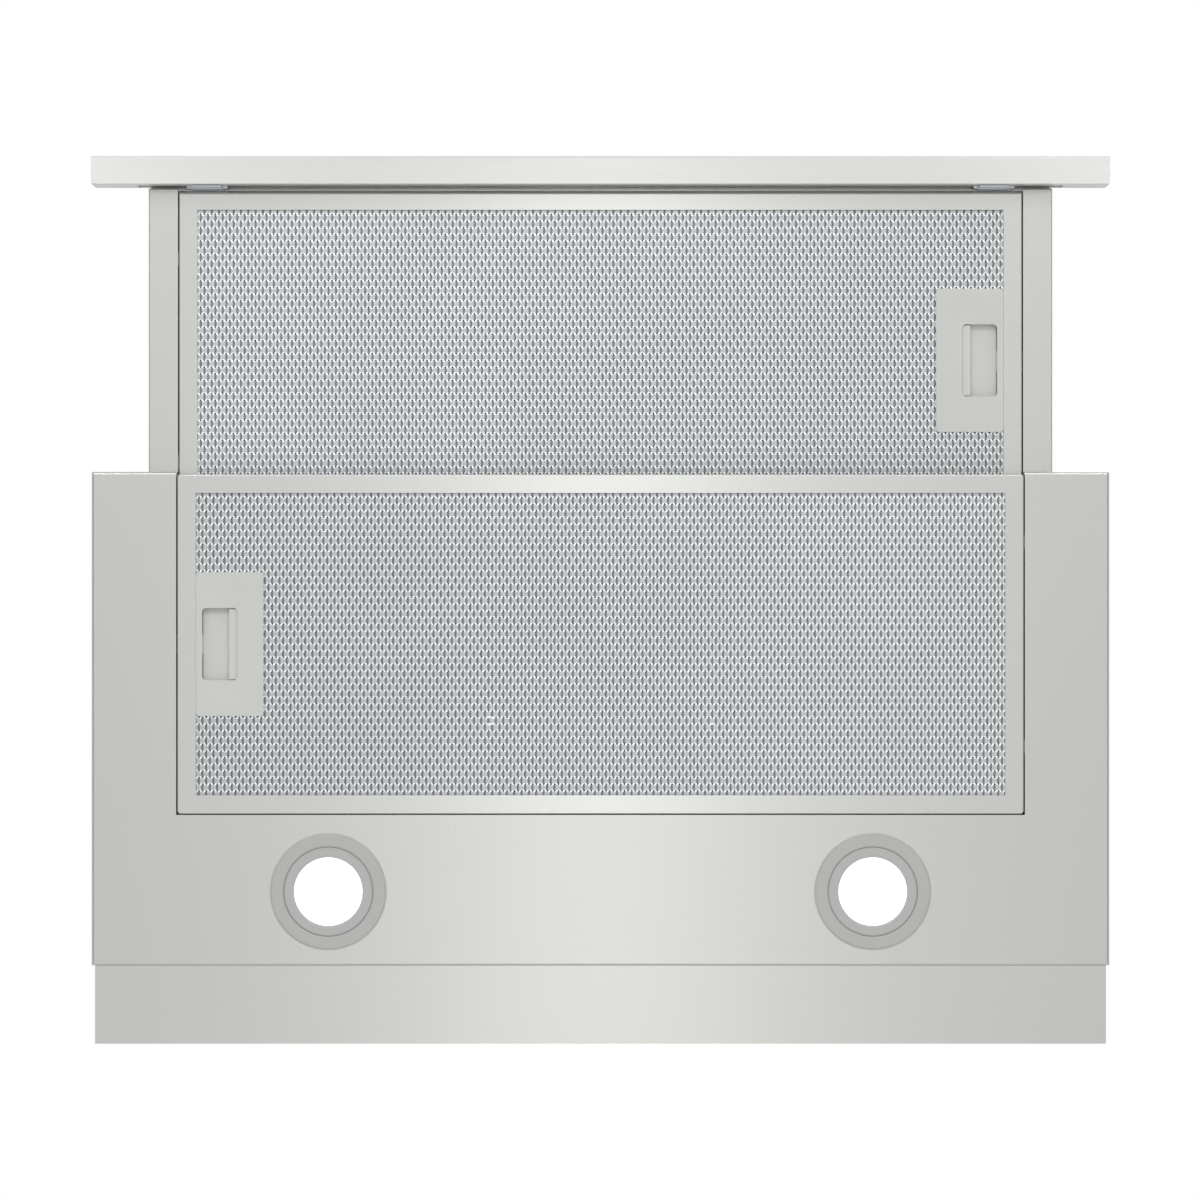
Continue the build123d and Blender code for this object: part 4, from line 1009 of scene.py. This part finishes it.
    def build(self) -> None:
        """Makes the pack and dresses the filter's CAD nodes."""
        growth = self.growth()
        for number, layer in enumerate(PACK_LAYERS, 1):
            self.lay(growth, number, layer)
        coat(FILTER_EDGE, f"{self.name}_frame")
        coat(HANDLE_PLASTIC, f"{self.name}_handle")
        coat(LATCH_PLASTIC, f"{self.name}_latch")
        coat(SPRING_WIRE, f"{self.name}_spring")
        log.info("%s dressed", self.name)


@dataclass
class HoodShell:
    """The folded tray, the housing above it and the filler strip behind. Sizes in millimetres.

    Attributes:
        faces: The housing's front face, rear face and top.
        seam_ys: Where the top's rivets are along each seam, and seam_zs, the front's and rear's.
        collar: The collar's middle in Y, the radius of its screws' ring, and its flange's top.
        strip: The filler strip's rear face, and the height of its screws.
    """

    body: str = "hood_body"
    seam_x: float = 256.0
    faces: Triple = (-105.0, 145.0, 162.0)
    seam_ys: tuple[float, ...] = (-88.0, -32.0, 20.0, 72.0, 128.0)
    seam_zs: tuple[float, ...] = (26.0, 82.0, 138.0)
    collar: Triple = (5.0, 79.6, 164.0)
    strip: tuple[float, float] = (146.0, -27.0)
    strip_xs: tuple[float, ...] = (-240.0, -80.0, 80.0, 240.0)

    def build(self) -> None:
        """Dresses the sheets, rivets the housing's seams and sets the screws."""
        coat(SILVER_SHEET, "tray_shell", "filler_strip")
        coat(HOUSING_ZINC, "tray_top", "housing_cover", "left_side_plate", "right_side_plate")
        front, rear, top = self.faces
        seams: list[tuple[Triple, Facing]] = []
        for x in (-self.seam_x, self.seam_x):
            seams += [((x, y, top), Facing.UP) for y in self.seam_ys]
            seams += [((x, front, z), Facing.FRONT) for z in self.seam_zs]
            seams += [((x, rear, z), Facing.REAR) for z in self.seam_zs]
        rivets = Fasteners("seam_rivets", self.body, RIVET_ALUMINIUM, (3.2, 0.9), (1.6, 2.4), False)
        rivets.build(seams)
        middle, radius, flange = self.collar
        reach = radius * math.sqrt(0.5)
        seats: list[tuple[Triple, Facing]] = []
        for x in (-reach, reach):
            seats += [((x, middle + y, flange), Facing.UP) for y in (-reach, reach)]
        seats += [((x, *self.strip), Facing.REAR) for x in self.strip_xs]
        screws = Fasteners("body_screw_set", self.body, SCREW_ZINC, (3.4, 2.0), (1.7, 8.0))
        screws.build(seats, "body_screws")
        log.info("hood shell dressed")


@dataclass
class FrontBar:
    """The brushed front bar with its clips and switches. Sizes in millimetres.

    Attributes:
        mark_y: The face that the marks stand on, and mark_z, their height.
        marks: Each mark's place along the bar, and its radius.
        mark_rise: How far a mark stands out.
    """

    body: str = "drawer"
    mark_y: float = -329.8
    mark_z: float = -19.2
    marks: tuple[tuple[float, float], ...] = (
        (170.0, 0.35), (178.0, 0.75), (206.0, 0.3), (214.0, 0.5), (222.0, 0.75), (230.0, 1.0),
    )
    mark_rise: float = 0.12
    taper: float = 0.8
    sides: int = 20

    def add_marks(self) -> None:
        """Adds raised dots at the sliders: off and on for the light, and three growing speeds."""
        shape = bmesh.new()
        for x, radius in self.marks:
            front = self.mark_y - self.mark_rise
            base = ring(shape, (x, self.mark_y, self.mark_z), radius, self.sides, up=2)
            top = ring(shape, (x, front, self.mark_z), self.taper * radius, self.sides, up=2)
            wall(shape, base, top)
            shape.faces.new(top)
            shape.faces.new(base[::-1])
        made = from_mesh("switch_marks", finished(shape, "switch_marks"))
        made.data.materials.append(KNOB_SILVER.material())
        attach(made, self.body)

    def build(self) -> None:
        """Dresses the bar and adds the dots."""
        coat(BAR_STEEL, "front_bar")
        coat(SILVER_SHEET, "bar_core")
        coat(CLIP_PLASTIC_AND_PAINTED_REFLECTION, "left_bar_clip", "right_bar_clip")
        coat(SWITCH_BLACK, "switch_bezel", "switch_block")
        coat(KNOB_SILVER, "light_slider", "fan_slider")
        self.add_marks()
        log.info("front bar dressed")


@dataclass
class FilterDrawer:
    """The sliding drawer, its ball runners and its reed switch. Sizes are in millimetres."""

    body: str = "drawer"
    clip_x: float = 232.0
    screw_offset: float = 6.0
    seat: tuple[float, float] = (-311.45, -11.3)

    def build(self) -> None:
        """Dresses the drawer and its runners, and sets the clips' screws."""
        coat(SILVER_SHEET, "drawer_frame", "drawer_roof")
        for side in ("left", "right"):
            parts = ("runner_outer", "runner_inner", "ball_cage")
            coat(RUNNER_ZINC, *(f"{side}_{part}" for part in parts))
        coat(MAGNET_BLACK, "sensor_magnet")
        coat(BOX_PLASTIC, "drawer_sensor")
        places = (self.clip_x - self.screw_offset, self.clip_x + self.screw_offset)
        seats = [((side * x, *self.seat), Facing.REAR) for side in (-1, 1) for x in places]
        screws = Fasteners("drawer_screw_set", self.body, SCREW_ZINC, (2.6, 1.6), (1.3, 5.7))
        screws.build(seats, "drawer_screws")
        log.info("filter drawer dressed")


@dataclass
class LampPair:
    """The two recessed lamps. The right lens's middle is in millimetres, and the left mirrors it."""

    lens: Triple = (159.9, 101.6, -41.5)
    lens_colour: Triple = (0.9, 0.9, 0.9)
    lens_roughness: float = 0.3

    def build(self) -> None:
        """Dresses both lamps, each lens about its own middle."""
        x, y, z = (c * MM for c in self.lens)
        for side, sign in (("left", -1), ("right", 1)):
            coat(LAMP_TRIM, f"{side}_lamp_ring", f"{side}_lamp_bezel")
            coat(LAMP_CAN, f"{side}_lamp_can")
            given = (f"{side}_lens_glow", self.lens_colour, self.lens_roughness)
            coat(LampLens(*given, centre=(sign * x, y, z)), f"{side}_lamp_lens")
        log.info("lamps dressed")


@dataclass(frozen=True)
class InnerUnit:
    """A group of CAD pieces inside the hood that only need their finishes.

    Attributes:
        name: What the log calls it.
        finishes: Each finish, with the names of its nodes in one line.
    """

    name: str
    finishes: tuple[tuple[Finish, str], ...]

    def build(self) -> None:
        """Dresses the pieces."""
        for finish, nodes in self.finishes:
            coat(finish, *nodes.split())
        log.info("%s dressed", self.name)


FAN_FINISHES = (
    (FAN_PLASTIC, "volute_left volute_right impeller"),
    (MOTOR_SHELL, "motor"),
    (SHAFT_STEEL, "motor_shaft flap_pin"),
    (HOUSING_ZINC, "motor_bracket"),
    (CAPACITOR_PLASTIC, "capacitor"),
    (COLLAR_PLASTIC, "outlet_collar front_flap rear_flap"),
)
ELECTRIC_FINISHES = (
    (BOX_PLASTIC, "terminal_box terminal_box_lid"),
    (BOARD_GREEN, "circuit_board"),
    (DRIVER_PLASTIC, "lamp_driver"),
    (COLLAR_PLASTIC, "mains_gland"),
)


@dataclass(frozen=True)
class SoftLamp:
    """A rectangular studio lamp that the camera doesn't see. Places and sizes are in metres."""

    name: str
    place: Triple
    target: Triple
    size: tuple[float, float]
    watts: float

    def build(self) -> None:
        """Adds the lamp."""
        light = bpy.data.lights.new(self.name, "AREA")
        light.shape = "RECTANGLE"
        light.size, light.size_y = self.size
        light.energy = self.watts
        made = bpy.data.objects.new(self.name, light)
        bpy.context.scene.collection.objects.link(made)
        made.location = self.place
        ahead = Vector(self.target) - Vector(self.place)
        made.rotation_euler = ahead.to_track_quat("-Z", "Y").to_euler()
        made.visible_camera = False


@dataclass(frozen=True)
class Flag:
    """An upright panel at one X that only reflections see, to give metal darker tones."""

    name: str
    x: float
    half: float = 1.7
    levels: tuple[float, float] = (-3.2, -0.5)
    grey: float = 0.42
    weave: float = 0.04

    def build(self) -> None:
        """Adds the panel."""
        low, high = self.levels
        ends = [(-self.half, low), (self.half, low), (self.half, high), (-self.half, high)]
        mesh = bpy.data.meshes.new(self.name)
        mesh.from_pydata([(self.x, y, z) for y, z in ends], [], [(0, 1, 2, 3)])
        cloth = bpy.data.materials.new(self.name + "_cloth")
        sheet = NodeSheet.blank(cloth)
        tone = sheet.around(sheet.noise(Grain.FLAG_WEAVE), self.grey, self.weave * self.grey)
        grey = sheet.node("ShaderNodeEmission", {"Strength": tone})
        sheet.node("ShaderNodeOutputMaterial", {"Surface": grey.outputs[0]})
        mesh.materials.append(cloth)
        made = from_mesh(self.name, mesh)
        made.visible_camera = made.visible_diffuse = False
        made.visible_shadow = made.visible_transmission = False


@dataclass(frozen=True)
class Studio:
    """A plain floor of pale paper far below, a white surround, grey flags and soft lamps."""

    floor_z: float = -5.2
    floor_half: float = 30.0
    paper: Triple = (0.84, 0.84, 0.84)
    fibre: float = 0.015
    surround: float = 0.62
    lamps: tuple[SoftLamp, ...] = (
        SoftLamp("left_key", (-0.9, -1.05, -3.3), (-0.2, -0.3, 0.0), (0.5, 0.5), 3.0),
        SoftLamp("right_key", (0.9, -1.05, -3.3), (0.2, -0.3, 0.0), (0.5, 0.5), 3.0),
        SoftLamp("middle_strip", (0.0, -0.07, -1.6), (0.0, -0.07, 0.0), (0.12, 3.0), 2.5),
        SoftLamp("left_front", (-0.62, -1.5, -2.2), (-0.3, -0.33, 0.0), (0.3, 0.5), 6.0),
        SoftLamp("right_front", (0.62, -1.5, -2.2), (0.3, -0.33, 0.0), (0.3, 0.5), 6.0),
        SoftLamp("top_soft", (0.9, -1.6, 2.6), (0.0, 0.0, 0.1), (1.8, 1.8), 28.0),
    )
    flags: tuple[Flag, ...] = (Flag("left_flag", -1.6), Flag("right_flag", 1.6))

    def paper_material(self) -> bpy.types.Material:
        """The floor's matt paper, which metal sees as plain white.

        Returns:
            The material.
        """
        made = bpy.data.materials.new("floor_paper")
        sheet = NodeSheet.blank(made)
        tone = sheet.around(sheet.noise(Grain.PAPER), 1, self.fibre)
        paper = sheet.node("ShaderNodeBsdfDiffuse", {"Color": sheet.tinted(self.paper, tone)})
        white = sheet.node("ShaderNodeEmission", {"Color": WHITE, "Strength": 1.0})
        inputs = {0: sheet.mirrored(), 1: paper.outputs[0], 2: white.outputs[0]}
        both = sheet.node("ShaderNodeMixShader", inputs)
        sheet.node("ShaderNodeOutputMaterial", {"Surface": both.outputs[0]})
        return made

    def build(self) -> None:
        """Adds the floor, the surround, the lamps and the flags."""
        half, z = self.floor_half, self.floor_z
        mesh = bpy.data.meshes.new("studio_floor")
        corners = [(-half, -half, z), (half, -half, z), (half, half, z), (-half, half, z)]
        mesh.from_pydata(corners, [], [(0, 1, 2, 3)])
        mesh.materials.append(self.paper_material())
        from_mesh("studio_floor", mesh)
        world = bpy.data.worlds.new("studio_surround")
        bpy.context.scene.world = world
        sheet = NodeSheet.blank(world)
        path = sheet.node("ShaderNodeLightPath").outputs
        seen = sheet.math("MAXIMUM", sheet.mirrored(), path["Is Camera Ray"])
        soft = sheet.node("ShaderNodeBackground", {"Color": WHITE, "Strength": self.surround})
        bright = sheet.node("ShaderNodeBackground", {"Color": WHITE, "Strength": 1.0})
        inputs = {0: seen, 1: soft.outputs[0], 2: bright.outputs[0]}
        both = sheet.node("ShaderNodeMixShader", inputs)
        sheet.node("ShaderNodeOutputWorld", {"Surface": both.outputs[0]})
        for extra in (*self.lamps, *self.flags):
            extra.build()
        log.info("studio built")


@dataclass(frozen=True)
class PhotoCamera:
    """The photograph's camera: under the hood, looking straight up."""

    place: Triple = (-0.0003, -0.0697, -3.891)
    view_degrees: float = 10.461
    clip_end: float = 100.0

    def build(self) -> None:
        """Adds the camera and makes it the scene's own."""
        lens = bpy.data.cameras.new("photo_camera")
        lens.sensor_fit = "HORIZONTAL"
        lens.angle = math.radians(self.view_degrees)
        lens.clip_end = self.clip_end
        made = bpy.data.objects.new("photo_camera", lens)
        bpy.context.scene.collection.objects.link(made)
        made.location = self.place
        made.rotation_euler = (math.pi, 0.0, 0.0)
        bpy.context.scene.camera = made
        log.info("camera placed")


def main() -> None:
    """Builds the studio and every sub-assembly, in order."""
    logging.basicConfig(level=logging.INFO, format="%(name)s: %(message)s")
    bpy.context.scene.view_settings.view_transform = "Standard"
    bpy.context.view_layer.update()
    PhotoCamera().build()
    Studio().build()
    HoodShell().build()
    FrontBar().build()
    FilterDrawer().build()
    GreaseFilter("body_filter", "body_filter", (0.0, -43.8, -41.0)).build()
    GreaseFilter("drawer_filter", "drawer", (0.0, -211.1, -24.3), turned=True).build()
    LampPair().build()
    InnerUnit("fan unit", FAN_FINISHES).build()
    InnerUnit("electrics", ELECTRIC_FINISHES).build()


if __name__ == "__main__":
    main()
